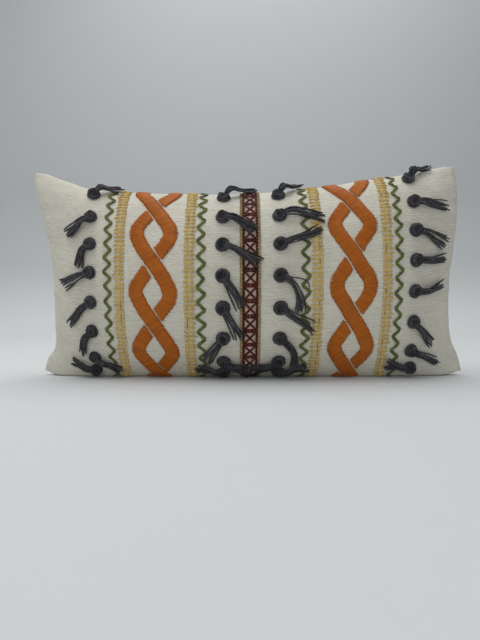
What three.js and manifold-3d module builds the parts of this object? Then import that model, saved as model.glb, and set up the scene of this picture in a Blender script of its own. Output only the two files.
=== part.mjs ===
// Embroidered lumbar throw pillow with yarn tassels, standing on its long bottom edge.
// Millimetres, +Z up, +X along the width, the embroidered front faces -Y.
// The origin is the middle of the bounding box's bottom face.

import * as THREE from "three";
import { mergeVertices } from "three/addons/utils/BufferGeometryUtils.js";
import Module from "manifold-3d";

const wasm = await Module();
wasm.setup();

// ---- Driving dimensions ------------------------------------------------------------

// Cover, cut flat and then filled
const COVER_WIDTH = 660; // flat, seam to seam
const COVER_HEIGHT = 356; // flat, seam to seam
const CROWN = 166; // greatest thickness of the filled cover
const CORNER_TAKE_UP = 17; // how much lower the filled corners stand in each half height
const CORNER_DRAW_IN = 5; // how far each filled corner is drawn in sideways
const TOP_DIP = 38; // dip of the top edge's middle below its right corner
const TOP_RISE = { left: 32, right: 38 }; // from the middle of the top edge to each corner
const SIDE_DIP = 26; // hollow of each side edge between its corners
const BASE_MARGIN = 7; // flat base beyond the zip's tapes, where the weight settles
const COVER_CLOTH = 1.2; // thickness of the slubbed cotton
const SEAM_GAP = 0.3; // between the two panels' turned edges

// Fullness: exponents of the crown across the width and of the pulled-in edges
const CROWN_FALL = 2.5;
const CROWN_ROUND = 0.6;
const SEAM_POINT = 1.2; // how pointed the section is where the panels meet
const BASE_FALL = 8; // how the flat base narrows towards the corners
const TOP_RISE_FALL = { left: 5, right: 1.6 }; // the right half is fuller at its top
const SIDE_DIP_FALL = 4;
const DRAW_IN_FALL = 4;

// Insert: a plain bag of fibre inside the cover
const INSERT_CLOTH = 0.8;
const INSERT_EASE = 1.2; // clear space between cover and insert
const FILL_EASE = 0.4; // clear space between insert bag and fibre
const INSERT_SHORTER = 10; // how far the insert stops short of the cover's corners

// Zip in the bottom seam
const ZIP_LENGTH = 400;
const ZIP_SLOT = 10; // width of the opening between the turned edges
const ZIP_SLOT_END = 26; // opening beyond the stops, for the pull
const COIL_WIDTH = 2.4; // each half of the coil
const COIL_HEIGHT = 2;
const COIL_SPLIT = 1.1; // between the two halves, where the slider's blade passes
const COIL_FLOOR = 4.1; // height of the coil over the surface it stands on
const TAPE_WIDTH = 9;
const TAPE_CLOTH = 0.6;
const STOP_LENGTH = 3;
const SLIDER_LENGTH = 9;
const SLIDER_PLATE = 0.8;
const SLIDER_WIDTH = 6.6;
const SLIDER_BLADE = 0.5;
const PULL_LENGTH = 22;
const PULL_WIDTH = 6;
const PULL_THICKNESS = 1;
const PULL_EYE = 1.7; // outer radius of the pull's eye
const PULL_PIN = 0.5; // radius of the slider's cross pin
const PULL_PIN_HEIGHT = 2; // height of the pin over the surface it stands on
const PULL_NECK = 2.4; // width of the pull at its eye
const RUNNING_GAP = 0.3; // between pieces that touch or slide

// Embroidery, as distances along the flat cloth from the pattern's middle
const PATTERN_SHIFT = 7.5; // the pattern was sewn this far right of the cover's middle
const MIDDLE_SHIFT = 3.2; // and its lattice and braids this far
const STITCH_LIFT = 0.7; // under side of the stitches over the cloth
const STITCH_DEPTH = 0.8;
const LATTICE_WIDTH = 19;
const BRAID_AT = 12.5;
const BRAID_WIDTH = 4.4;
const INNER_ZIGZAG_AT = 72.5;
const OUTER_ZIGZAG_AT = 208;
const ZIGZAG_REACH = 7; // half the width a zigzag covers
const ZIGZAG_LINE = 3;
const ZIGZAG_PITCH = 22;
const INNER_LADDER_AT = 89.5;
const OUTER_LADDER_AT = 189;
const LADDER_WIDTH = 15;
const LADDER_WAIST = 9;
const LADDER_PITCH = 22;
const CHAIN_AT = 140;
const CHAIN_REACH = 24; // swing of each strap's centre line
const CHAIN_STRAP = 21;
const CHAIN_PERIOD = 90;
const CHAIN_STEPS = 8; // straight pieces in each period
const LATTICE_PITCH = 22;
const LATTICE_LINE = 3;
const BAND_TOP_MARGIN = 5; // from the top seam to where the bands begin
const BAND_FLOOR_MARGIN = 36; // from the bottom seam, clear of the surface it stands on

// Tassels: knotted yarn tied through the front
const TASSELS_PER_COLUMN = 8;
const COLUMNS = [
  // name, distance right of the cover's middle, how much higher its even rows sit
  ["left_outer", -229, 0],
  ["left_inner", -35, -4],
  ["right_inner", 45, -5],
  ["right_outer", 242, 6],
];
const TASSEL_TOP_MARGIN = 28; // from the top seam to the first knot
const TASSEL_END_MARGIN = 16; // from the bottom seam to the last knot, as tied
const TASSEL_FLOOR_MARGIN = 38; // lowest a knot may sit, clear of the surface below
const KNOT_RADIUS = 8;
const KNOT_HEIGHT = 7.4;
const KNOT_CLEARANCE = 7; // least clear cloth between two knots of a column
const TAIL_LENGTH = 40; // from the middle of the knot
const TAIL_WIDTH = 11;
const TAIL_HEIGHT = 6;
const TAIL_LIFT = 2.2; // under side of the tail over the cloth, clear of the stitches
const NECK_WIDTH = 7;

// Which way each tail lies, in degrees round the cloth: 0 to the right, 90 up.
const TAIL_LAY = {
  left_outer: [25, 225, 240, 205, 224, 240, 335, 165],
  left_inner: [20, 331, 330, 303, 300, 237, 335, 165],
  right_inner: [40, 355, 15, 305, 325, 302, 205, 15],
  right_outer: [31, 351, 338, 0, 3, 313, 330, 165],
};

// Mesh fineness
const PANEL_CELL = [25.4, 14.8]; // width and height of a facet of the cover
const INNER_CELL = [36.7, 29.7]; // and of the insert
const PANEL_COLUMNS = Math.round(COVER_WIDTH / PANEL_CELL[0]);
const PANEL_ROWS = Math.round(COVER_HEIGHT / PANEL_CELL[1]);
const INNER_COLUMNS = Math.round(COVER_WIDTH / INNER_CELL[0]);
const INNER_ROWS = Math.round(COVER_HEIGHT / INNER_CELL[1]);
const BAND_STEPS = 22;
const TASSEL_SIDES = 8;
const MERGE_DISTANCE = 1e-4;

// ---- The filled cover's surface ----------------------------------------------------

const FLAT_HALF = { u: COVER_WIDTH / 2, v: COVER_HEIGHT / 2 };

// The zip's tapes lie on the flat base, so it reaches past them.
const coilInner = COIL_SPLIT / 2;
const coilOuter = coilInner + COIL_WIDTH;
const tapeNear = coilOuter + RUNNING_GAP;
const tapeFar = tapeNear + TAPE_WIDTH;
const baseHalf = tapeFar + BASE_MARGIN;

// A filled bag's measurements, drawn in by an inset on every side and lifted off its base.
function bag(inset, cornerInset, base) {
  return {
    base,
    crown: CROWN / 2 - inset,
    cornerX: FLAT_HALF.u - CORNER_DRAW_IN - cornerInset,
    cornerZ: 2 * (FLAT_HALF.v - CORNER_TAKE_UP) - cornerInset,
  };
}

// The height of the bag's top seam at a share s of its half width.
function topSeam(shape, s) {
  const side = s < 0 ? "left" : "right";
  return shape.cornerZ - TOP_DIP + TOP_RISE[side] * Math.abs(s) ** TOP_RISE_FALL[side];
}

// The distance of the bag's side seam from the middle at a share t of its half height.
function sideSeam(shape, t) {
  return shape.cornerX - SIDE_DIP * (1 - Math.abs(t) ** SIDE_DIP_FALL);
}

// How far a round section of a depth sinks to be flat over a half width, as a share of
// its height above the surface it stands on.
function sinkShare(depth, flatHalf) {
  const across = depth > 0 ? (flatHalf / depth) ** (1 / SEAM_POINT) : 0;
  const up = Math.sqrt(1 - across * across);
  return (1 - up) / (1 + up);
}

// One half of an upright section through the bag at s, as depth and height from the
// bottom seam to the top seam, with equal lengths of cloth between its points.
function section(shape, s, points = 64) {
  const top = topSeam(shape, s);
  const depth = shape.crown * (1 - Math.abs(s) ** CROWN_FALL) ** CROWN_ROUND;
  const sink = (top - shape.base) * sinkShare(depth, baseHalf * (1 - Math.abs(s) ** BASE_FALL));
  const middle = (top + shape.base - sink) / 2;
  const reach = (top - shape.base + sink) / 2;
  const raw = [];
  for (let i = 0; i <= points; i += 1) {
    const angle = Math.PI * (i / points - 0.5);
    const height = middle + reach * Math.sin(angle);
    raw.push([depth * Math.cos(angle) ** SEAM_POINT, Math.max(height, shape.base)]);
  }
  const run = [0];
  for (let i = 1; i <= points; i += 1) {
    run.push(run[i - 1] + Math.hypot(raw[i][0] - raw[i - 1][0], raw[i][1] - raw[i - 1][1]));
  }
  return { raw, run };
}

// The point of a section at a share 0 to 1 of its cloth from the bottom seam.
function alongSection({ raw, run }, share) {
  const wanted = THREE.MathUtils.clamp(share, 0, 1) * run[run.length - 1];
  let i = 1;
  while (i < run.length - 1 && run[i] < wanted) {
    i += 1;
  }
  const part = (wanted - run[i - 1]) / (run[i] - run[i - 1] || 1);
  return [0, 1].map((k) => raw[i - 1][k] + part * (raw[i][k] - raw[i - 1][k]));
}

// Where the cloth point (u, v) of a bag's front lies, u and v measured on the flat cloth.
function clothPoint(shape, u, v) {
  const s = THREE.MathUtils.clamp(u / FLAT_HALF.u, -1, 1);
  const t = THREE.MathUtils.clamp(v / FLAT_HALF.v, -1, 1);
  const [depth, height] = alongSection(section(shape, s), (t + 1) / 2);
  const drawn = 1 - sideSeam(shape, t) / FLAT_HALF.u;
  const x = FLAT_HALF.u * s * (1 - drawn * Math.abs(s) ** DRAW_IN_FALL);
  return new THREE.Vector3(x, -depth, height);
}

const COVER = bag(0, 0, 0);

// The cloth's outward direction and its two directions in the surface, right and up.
function clothFrame(u, v) {
  const step = 4;
  const right = clothPoint(COVER, u + step, v).sub(clothPoint(COVER, u - step, v)).normalize();
  const rough = clothPoint(COVER, u, v + step).sub(clothPoint(COVER, u, v - step));
  const out = right.clone().cross(rough).normalize();
  const up = out.clone().cross(right);
  return { right, up, out };
}

// A point over the front's cloth, at a height above it.
function overCloth(u, v, height) {
  return clothPoint(COVER, u, v).addScaledVector(clothFrame(u, v).out, height);
}

// ---- Solids ------------------------------------------------------------------------

// A copy of a geometry that holds only its points, with those closer than a distance merged.
function mergedCopy(geometry, distance) {
  const bare = new THREE.BufferGeometry();
  const flat = geometry.index ? geometry.toNonIndexed() : geometry;
  bare.setAttribute("position", flat.getAttribute("position").clone());
  return mergeVertices(bare, distance);
}

// A three.js geometry as a manifold-3d solid.
function toSolid(geometry) {
  const merged = mergedCopy(geometry, MERGE_DISTANCE);
  return new wasm.Manifold(
    new wasm.Mesh({
      numProp: 3,
      vertProperties: merged.attributes.position.array,
      triVerts: new Uint32Array(merged.index.array),
    }),
  );
}

// A manifold-3d solid as a three.js geometry.
function toGeometry(solid) {
  const mesh = solid.getMesh();
  const geometry = new THREE.BufferGeometry();
  geometry.setAttribute("position", new THREE.BufferAttribute(mesh.vertProperties, 3));
  geometry.setIndex(new THREE.BufferAttribute(mesh.triVerts, 1));
  return geometry;
}

// A geometry from points and triangles.
function fromFaces(points, faces) {
  const geometry = new THREE.BufferGeometry();
  geometry.setFromPoints(points);
  geometry.setIndex(faces.flat());
  return geometry;
}

// A box between two corners.
function boxBetween(low, high) {
  const size = high.map((value, k) => value - low[k]);
  const middle = high.map((value, k) => (value + low[k]) / 2);
  return new THREE.BoxGeometry(...size).translate(...middle);
}

// An outline in Y and Z pushed along X from one place to another.
function alongX(outline, from, to) {
  const shape = new THREE.Shape(outline.map(([y, z]) => new THREE.Vector2(y, z)));
  const body = new THREE.ExtrudeGeometry(shape, { depth: to - from, bevelEnabled: false });
  const turn = new THREE.Matrix4().makeBasis(
    new THREE.Vector3(0, 1, 0),
    new THREE.Vector3(0, 0, 1),
    new THREE.Vector3(1, 0, 0),
  );
  return body.applyMatrix4(turn).translate(from, 0, 0);
}

// The quads of a grid of rows and columns, whose points start at a number.
function gridFaces(rows, columns, start, flipped) {
  const faces = [];
  for (let j = 0; j < rows; j += 1) {
    for (let i = 0; i < columns; i += 1) {
      const a = start + j * (columns + 1) + i;
      const b = a + 1;
      const c = b + columns + 1;
      const d = c - 1;
      faces.push(flipped ? [a, c, b] : [a, b, c]);
      faces.push(flipped ? [a, d, c] : [a, c, d]);
    }
  }
  return faces;
}

// The point numbers round the edge of a grid, going right along its bottom first.
function gridEdge(rows, columns) {
  const at = (j, i) => j * (columns + 1) + i;
  const edge = [];
  for (let i = 0; i < columns; i += 1) edge.push(at(0, i));
  for (let j = 0; j < rows; j += 1) edge.push(at(j, columns));
  for (let i = columns; i > 0; i -= 1) edge.push(at(rows, i));
  for (let j = rows; j > 0; j -= 1) edge.push(at(j, 0));
  return edge;
}

// The front half of a bag, as a grid of points set back from the seam plane.
function halfBagPoints(shape, rows, columns, setBack) {
  const points = [];
  for (let j = 0; j <= rows; j += 1) {
    for (let i = 0; i <= columns; i += 1) {
      const u = FLAT_HALF.u * (2 * (i / columns) - 1);
      const v = FLAT_HALF.v * (2 * (j / rows) - 1);
      const point = clothPoint(shape, u, v);
      point.y -= setBack;
      points.push(point);
    }
  }
  return points;
}

// A shell of cloth: the space between an outer and an inner half bag, closed at the seam.
function clothShell(outer, inner, rows, columns) {
  const setBack = SEAM_GAP / 2;
  const points = halfBagPoints(outer, rows, columns, setBack);
  const start = points.length;
  points.push(...halfBagPoints(inner, rows, columns, setBack));
  const faces = gridFaces(rows, columns, 0, false);
  faces.push(...gridFaces(rows, columns, start, true));
  const edge = gridEdge(rows, columns);
  edge.forEach((a, k) => {
    const b = edge[(k + 1) % edge.length];
    faces.push([a, a + start, b + start]);
    faces.push([a, b + start, b]);
  });
  return fromFaces(points, faces);
}

// A solid bag of filling: both halves joined along the seam plane.
function solidBag(shape, rows, columns) {
  const front = halfBagPoints(shape, rows, columns, 0);
  const back = front.map((point) => new THREE.Vector3(point.x, -point.y, point.z));
  const faces = gridFaces(rows, columns, 0, false);
  faces.push(...gridFaces(rows, columns, front.length, true));
  return fromFaces([...front, ...back], faces);
}

// A geometry turned to face the other way across the seam plane.
function mirrored(geometry) {
  const copy = mergedCopy(geometry, MERGE_DISTANCE);
  copy.applyMatrix4(new THREE.Matrix4().makeScale(1, -1, 1));
  const index = copy.index.array;
  for (let i = 0; i < index.length; i += 3) {
    [index[i + 1], index[i + 2]] = [index[i + 2], index[i + 1]];
  }
  return copy;
}

// ---- Cover and insert --------------------------------------------------------------

const zipTop = COIL_FLOOR + COIL_HEIGHT + RUNNING_GAP + SLIDER_PLATE;
const coverInside = bag(COVER_CLOTH, COVER_CLOTH, COVER_CLOTH);
const insertInset = COVER_CLOTH + INSERT_EASE;
const insertBase = zipTop + INSERT_EASE;
const insertOutside = bag(insertInset, INSERT_SHORTER, insertBase);
const bagCloth = INSERT_CLOTH;
const insertInside = bag(insertInset + bagCloth, INSERT_SHORTER + bagCloth, insertBase + bagCloth);
const fillInset = insertInset + bagCloth + FILL_EASE;
const fillShape = bag(fillInset, INSERT_SHORTER + bagCloth + FILL_EASE, insertBase + bagCloth + FILL_EASE);

// A cover panel with the zip's opening cut from its bottom edge.
function coverPanel() {
  const cloth = toSolid(clothShell(COVER, coverInside, PANEL_ROWS, PANEL_COLUMNS));
  const reach = ZIP_LENGTH / 2 + ZIP_SLOT_END;
  const slot = boxBetween([-reach, -ZIP_SLOT / 2, -1], [reach, ZIP_SLOT / 2, 2 * COVER_CLOTH]);
  return toGeometry(cloth.subtract(toSolid(slot)));
}

function insertPanel() {
  return clothShell(insertOutside, insertInside, INNER_ROWS, INNER_COLUMNS);
}

// ---- Zip ---------------------------------------------------------------------------

const zipHalf = ZIP_LENGTH / 2;
const sliderParked = zipHalf - SLIDER_LENGTH / 2 - RUNNING_GAP;

// The tape on the front side: a strip that steps down from the coil to the panel's edge.
function zipTape() {
  const fold = ZIP_SLOT / 2 + RUNNING_GAP;
  const low = COVER_CLOTH + RUNNING_GAP;
  const high = COIL_FLOOR + (COIL_HEIGHT - TAPE_CLOTH) / 2;
  const outline = [
    [tapeNear, high],
    [fold, high],
    [fold + TAPE_CLOTH, low],
    [tapeFar, low],
    [tapeFar, low + TAPE_CLOTH],
    [fold + 2 * TAPE_CLOTH, low + TAPE_CLOTH],
    [fold + TAPE_CLOTH, high + TAPE_CLOTH],
    [tapeNear, high + TAPE_CLOTH],
  ];
  const end = zipHalf + STOP_LENGTH + RUNNING_GAP;
  return alongX(outline, -end, end);
}

function coilHalf() {
  const low = [-zipHalf, coilInner, COIL_FLOOR];
  const high = [zipHalf, coilOuter, COIL_FLOOR + COIL_HEIGHT];
  return boxBetween(low, high);
}

// A stop clamped over both halves' ends: +1 for the end where the closed slider waits.
function zipStop(end) {
  const near = end * (zipHalf + RUNNING_GAP);
  const far = end * (zipHalf + RUNNING_GAP + STOP_LENGTH);
  const low = [Math.min(near, far), -coilOuter, COIL_FLOOR];
  const high = [Math.max(near, far), coilOuter, COIL_FLOOR + COIL_HEIGHT];
  return boxBetween(low, high);
}

// The slider: two plates joined by a blade, with ears and a cross pin that hold the pull.
function zipSlider() {
  const under = COIL_FLOOR - RUNNING_GAP;
  const over = COIL_FLOOR + COIL_HEIGHT + RUNNING_GAP;
  const half = SLIDER_WIDTH / 2;
  const blade = SLIDER_BLADE / 2;
  const outline = [
    [-half, under - SLIDER_PLATE],
    [half, under - SLIDER_PLATE],
    [half, under],
    [blade, under],
    [blade, over],
    [half, over],
    [half, over + SLIDER_PLATE],
    [-half, over + SLIDER_PLATE],
    [-half, over],
    [-blade, over],
    [-blade, under],
    [-half, under],
  ];
  const from = sliderParked - SLIDER_LENGTH / 2;
  let body = toSolid(alongX(outline, from, from + SLIDER_LENGTH));
  const ear = PULL_NECK / 2 + RUNNING_GAP;
  const earCloth = SLIDER_PLATE;
  const pinX = pullPinX();
  const reach = 2 * PULL_PIN;
  for (const side of [-1, 1]) {
    const inner = side * ear;
    const outer = side * (ear + earCloth);
    const low = [pinX - reach, Math.min(inner, outer), PULL_PIN_HEIGHT - reach];
    const high = [from + SLIDER_PLATE, Math.max(inner, outer), under - SLIDER_PLATE / 2];
    body = body.add(toSolid(boxBetween(low, high)));
  }
  const pin = new THREE.CylinderGeometry(PULL_PIN, PULL_PIN, 2 * (ear + earCloth / 2), 12);
  return toGeometry(body.add(toSolid(pin.translate(pinX, 0, PULL_PIN_HEIGHT))));
}

// The cross pin stands clear of the slider's leading end by the pull's eye.
function pullPinX() {
  return sliderParked - SLIDER_LENGTH / 2 - PULL_EYE - RUNNING_GAP;
}

// The pull: an eye round the cross pin and a flat tab that lies along the zip.
function zipPull() {
  const eye = new THREE.Shape();
  eye.absarc(0, 0, PULL_EYE, 0, 2 * Math.PI);
  const bore = new THREE.Path();
  bore.absarc(0, 0, PULL_PIN + RUNNING_GAP, 0, 2 * Math.PI);
  eye.holes.push(bore);
  const ring = new THREE.ExtrudeGeometry(eye, {
    depth: PULL_NECK,
    bevelEnabled: false,
    curveSegments: 10,
  });
  ring.rotateX(Math.PI / 2).translate(0, PULL_NECK / 2, 0);
  const half = PULL_THICKNESS / 2;
  const start = -(PULL_PIN + 2 * RUNNING_GAP);
  const neck = boxBetween(
    [start - PULL_LENGTH / 2, -PULL_NECK / 2, -half],
    [start, PULL_NECK / 2, half],
  );
  const tab = boxBetween(
    [-PULL_LENGTH, -PULL_WIDTH / 2, -half],
    [-PULL_LENGTH / 3, PULL_WIDTH / 2, half],
  );
  const whole = toSolid(ring).add(toSolid(neck)).add(toSolid(tab));
  return toGeometry(whole).translate(pullPinX(), 0, PULL_PIN_HEIGHT);
}

// ---- Embroidery --------------------------------------------------------------------

const bandLow = BAND_FLOOR_MARGIN - FLAT_HALF.v;
const bandHigh = FLAT_HALF.v - BAND_TOP_MARGIN;
const bandLength = bandHigh - bandLow;

// A ribbon of stitches over the cloth through a row of [left u, right u, v] stations.
function ribbon(stations) {
  const points = [];
  for (const [left, right, leftV, rightV = leftV] of stations) {
    points.push(overCloth(left, leftV, STITCH_LIFT));
    points.push(overCloth(right, rightV, STITCH_LIFT));
    points.push(overCloth(right, rightV, STITCH_LIFT + STITCH_DEPTH));
    points.push(overCloth(left, leftV, STITCH_LIFT + STITCH_DEPTH));
  }
  const faces = [];
  for (let i = 0; i < stations.length - 1; i += 1) {
    for (let k = 0; k < 4; k += 1) {
      const a = 4 * i + k;
      const b = 4 * i + ((k + 1) % 4);
      faces.push([a, b + 4, b]);
      faces.push([a, a + 4, b + 4]);
    }
  }
  const last = points.length - 4;
  faces.push([0, 1, 2], [0, 2, 3]);
  faces.push([last, last + 2, last + 1], [last, last + 3, last + 2]);
  return fromFaces(points, faces);
}

// An upright band of one width.
function plainBand(at, width) {
  const stations = [];
  for (let i = 0; i <= BAND_STEPS; i += 1) {
    stations.push([at - width / 2, at + width / 2, bandLow + (bandLength * i) / BAND_STEPS]);
  }
  return ribbon(stations);
}

// A band of long and short cross stitches.
function ladderBand(at) {
  const steps = 2 * Math.round(bandLength / LADDER_PITCH);
  const stations = [];
  for (let i = 0; i <= steps; i += 1) {
    const half = (i % 2 ? LADDER_WAIST : LADDER_WIDTH) / 2;
    stations.push([at - half, at + half, bandLow + (bandLength * i) / steps]);
  }
  return ribbon(stations);
}

// A zigzag line: its stations are cut level, so the line keeps its width.
function zigzagBand(at) {
  const turns = 2 * Math.round(bandLength / ZIGZAG_PITCH);
  const half = ZIGZAG_LINE / 2;
  const stations = [];
  for (let i = 0; i <= turns; i += 1) {
    const centre = at + (i % 2 ? 1 : -1) * (ZIGZAG_REACH - half);
    stations.push([centre - half, centre + half, bandLow + (bandLength * i) / turns]);
  }
  return ribbon(stations);
}

// One strap of a twisted chain, weaving from side to side.
function chainStrap(at, phase) {
  const steps = Math.ceil((bandLength / CHAIN_PERIOD) * CHAIN_STEPS);
  const stations = [];
  for (let i = 0; i <= steps; i += 1) {
    const v = bandLow + (bandLength * i) / steps;
    const turn = (2 * Math.PI * v) / CHAIN_PERIOD + phase;
    const centre = at + CHAIN_REACH * Math.sin(turn);
    const lean = ((2 * Math.PI * CHAIN_REACH) / CHAIN_PERIOD) * Math.cos(turn);
    const half = (CHAIN_STRAP / 2) * Math.hypot(1, 0.6 * lean);
    stations.push([centre - half, centre + half, v]);
  }
  return ribbon(stations);
}

// Two straps that cross, joined where they cross.
function chainBand(at) {
  const one = toSolid(chainStrap(at, 0));
  const other = toSolid(chainStrap(at, Math.PI));
  return toGeometry(one.add(other));
}

// The middle band: two side rails joined by a cross in each block.
function latticeBand() {
  const blocks = Math.round(bandLength / LATTICE_PITCH);
  const half = LATTICE_WIDTH / 2;
  const line = LATTICE_LINE;
  const inner = half - line;
  const rail = (sign) => {
    const edges = [sign * inner, sign * half].map((x) => MIDDLE_SHIFT + x);
    edges.sort((a, b) => a - b);
    const stations = [];
    for (let i = 0; i <= 2 * blocks; i += 1) {
      stations.push([...edges, bandLow + (bandLength * i) / (2 * blocks)]);
    }
    return toSolid(ribbon(stations));
  };
  let whole = rail(1).add(rail(-1));
  const crossReach = inner + line / 2;
  for (let i = 0; i < blocks; i += 1) {
    const low = bandLow + (bandLength * i) / blocks;
    const high = bandLow + (bandLength * (i + 1)) / blocks;
    for (const sign of [-1, 1]) {
      const from = -sign * crossReach;
      const to = sign * crossReach;
      const stations = [0, 0.5, 1].map((share) => {
        const centre = MIDDLE_SHIFT + from + share * (to - from);
        return [centre - line / 2, centre + line / 2, low + share * (high - low)];
      });
      whole = whole.add(toSolid(ribbon(stations)));
    }
  }
  return toGeometry(whole);
}

// ---- Tassels -----------------------------------------------------------------------

// The cloth height of a knot, counted from the top of a column that is set higher by a rise.
function knotHeight(row, rise) {
  const top = FLAT_HALF.v - TASSEL_TOP_MARGIN + rise;
  const bottom = TASSEL_END_MARGIN - FLAT_HALF.v + rise;
  const last = TASSELS_PER_COLUMN - 1;
  const even = top - ((top - bottom) * row) / last;
  const lowest = TASSEL_FLOOR_MARGIN - FLAT_HALF.v;
  const clearOfNext = lowest + (last - row) * (2 * KNOT_RADIUS + KNOT_CLEARANCE);
  return Math.max(even, clearOfNext);
}

// The knot and its tail as one round-sided body along +X, its underside near z = 0.
function tasselBody() {
  const knotDeep = KNOT_HEIGHT / 2;
  const knotMiddle = RUNNING_GAP + knotDeep;
  const tailDeep = TAIL_HEIGHT / 2;
  const tailMiddle = TAIL_LIFT + tailDeep;
  const stations = [];
  for (let i = 1; i <= 5; i += 1) {
    const angle = (Math.PI * i) / 7;
    const share = Math.sin(angle);
    stations.push([-KNOT_RADIUS * Math.cos(angle), KNOT_RADIUS * share, knotDeep * share, knotMiddle]);
  }
  const neck = KNOT_RADIUS + 1;
  stations.push([neck, NECK_WIDTH / 2, tailDeep * 0.9, tailMiddle]);
  stations.push([(neck + TAIL_LENGTH) / 2, TAIL_WIDTH / 2.4, tailDeep, tailMiddle]);
  stations.push([TAIL_LENGTH - 2, TAIL_WIDTH / 2, tailDeep * 0.8, tailMiddle]);
  const points = [new THREE.Vector3(-KNOT_RADIUS, 0, knotMiddle)];
  for (const [x, wide, deep, middle] of stations) {
    for (let k = 0; k < TASSEL_SIDES; k += 1) {
      const angle = (2 * Math.PI * k) / TASSEL_SIDES;
      const y = wide * Math.cos(angle);
      const z = middle + deep * Math.sin(angle);
      points.push(new THREE.Vector3(x, y, z));
    }
  }
  const tip = points.length;
  points.push(new THREE.Vector3(TAIL_LENGTH, 0, tailMiddle));
  const faces = [];
  const ringStart = (ring) => 1 + ring * TASSEL_SIDES;
  for (let k = 0; k < TASSEL_SIDES; k += 1) {
    const next = (k + 1) % TASSEL_SIDES;
    faces.push([0, ringStart(0) + next, ringStart(0) + k]);
    for (let ring = 0; ring < stations.length - 1; ring += 1) {
      const a = ringStart(ring);
      const b = ringStart(ring + 1);
      faces.push([a + k, a + next, b + next]);
      faces.push([a + k, b + next, b + k]);
    }
    const last = ringStart(stations.length - 1);
    faces.push([tip, last + k, last + next]);
  }
  return fromFaces(points, faces);
}

// Puts a tassel on the cloth at (u, v) with its tail lying at an angle.
function placeTassel(mesh, u, v, lay) {
  const { right, up, out } = clothFrame(u, v);
  const angle = THREE.MathUtils.degToRad(lay);
  const along = right.clone().multiplyScalar(Math.cos(angle));
  along.addScaledVector(up, Math.sin(angle));
  const across = out.clone().cross(along);
  const matrix = new THREE.Matrix4().makeBasis(along, across, out);
  matrix.setPosition(clothPoint(COVER, u, v));
  mesh.applyMatrix4(matrix);
}

// ---- Materials ---------------------------------------------------------------------

const fabric = (color) => () => new THREE.MeshStandardMaterial({ color, roughness: 0.95 });
const metal = (color) => () =>
  new THREE.MeshStandardMaterial({ color, roughness: 0.4, metalness: 0.9 });

const MATERIAL = {
  coverCloth: fabric("#cfc9bb"),
  insertCloth: fabric("#e8e6e0"),
  fibre: fabric("#f2f2ef"),
  zipTape: fabric("#cdc8bc"),
  zipCoil: fabric("#d8d4c8"),
  zipMetal: metal("#a9a9a6"),
  rustThread: fabric("#bd6420"),
  goldThread: fabric("#d9b46a"),
  oliveThread: fabric("#6d7340"),
  maroonThread: fabric("#6b2216"),
  braidThread: fabric("#b28a3c"),
  charcoalYarn: fabric("#46464b"),
};

// ---- Assembly ----------------------------------------------------------------------

const assembly = new THREE.Group();

function addPiece(name, geometry, material) {
  const mesh = new THREE.Mesh(geometry, material());
  mesh.name = name;
  assembly.add(mesh);
  return mesh;
}

function addCoverAndInsert() {
  const panel = coverPanel();
  addPiece("front_panel", panel, MATERIAL.coverCloth);
  addPiece("back_panel", mirrored(panel), MATERIAL.coverCloth);
  const bagHalf = insertPanel();
  addPiece("insert_front", bagHalf, MATERIAL.insertCloth);
  addPiece("insert_back", mirrored(bagHalf), MATERIAL.insertCloth);
  addPiece("fibre_fill", solidBag(fillShape, INNER_ROWS, INNER_COLUMNS), MATERIAL.fibre);
}

function addZip() {
  const tape = zipTape();
  addPiece("zip_tape_back", tape, MATERIAL.zipTape);
  addPiece("zip_tape_front", mirrored(tape), MATERIAL.zipTape);
  const coil = coilHalf();
  addPiece("zip_coil_back", coil, MATERIAL.zipCoil);
  addPiece("zip_coil_front", mirrored(coil), MATERIAL.zipCoil);
  addPiece("zip_top_stop", zipStop(1), MATERIAL.zipMetal);
  addPiece("zip_bottom_stop", zipStop(-1), MATERIAL.zipMetal);
  addPiece("zip_slider", zipSlider(), MATERIAL.zipMetal);
  addPiece("zip_pull", zipPull(), MATERIAL.zipMetal);
}

const SIDES = [
  ["left", -1],
  ["right", 1],
];

function addEmbroidery() {
  addPiece("lattice_band", latticeBand(), MATERIAL.maroonThread);
  for (const [side, sign] of SIDES) {
    const at = (distance) => PATTERN_SHIFT + sign * distance;
    const braid = plainBand(MIDDLE_SHIFT + sign * BRAID_AT, BRAID_WIDTH);
    addPiece(side + "_gold_braid", braid, MATERIAL.braidThread);
    addPiece(side + "_inner_zigzag", zigzagBand(at(INNER_ZIGZAG_AT)), MATERIAL.oliveThread);
    addPiece(side + "_outer_zigzag", zigzagBand(at(OUTER_ZIGZAG_AT)), MATERIAL.oliveThread);
    addPiece(side + "_inner_ladder", ladderBand(at(INNER_LADDER_AT)), MATERIAL.goldThread);
    addPiece(side + "_outer_ladder", ladderBand(at(OUTER_LADDER_AT)), MATERIAL.goldThread);
    addPiece(side + "_chain", chainBand(at(CHAIN_AT)), MATERIAL.rustThread);
  }
}

function addTassels() {
  for (const [column, u, rise] of COLUMNS) {
    for (let row = 0; row < TASSELS_PER_COLUMN; row += 1) {
      const name = "tassel_" + column + "_" + (row + 1);
      const mesh = addPiece(name, tasselBody(), MATERIAL.charcoalYarn);
      placeTassel(mesh, u, knotHeight(row, rise), TAIL_LAY[column][row]);
    }
  }
}

addCoverAndInsert();
addZip();
addEmbroidery();
addTassels();

// The origin goes to the middle of the bounding box's bottom face.
const bounds = new THREE.Box3().setFromObject(assembly, true);
const middle = bounds.getCenter(new THREE.Vector3());
assembly.position.set(-middle.x, -middle.y, -bounds.min.z);

const pillow = new THREE.Group();
pillow.add(assembly);

export default pillow;
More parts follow.
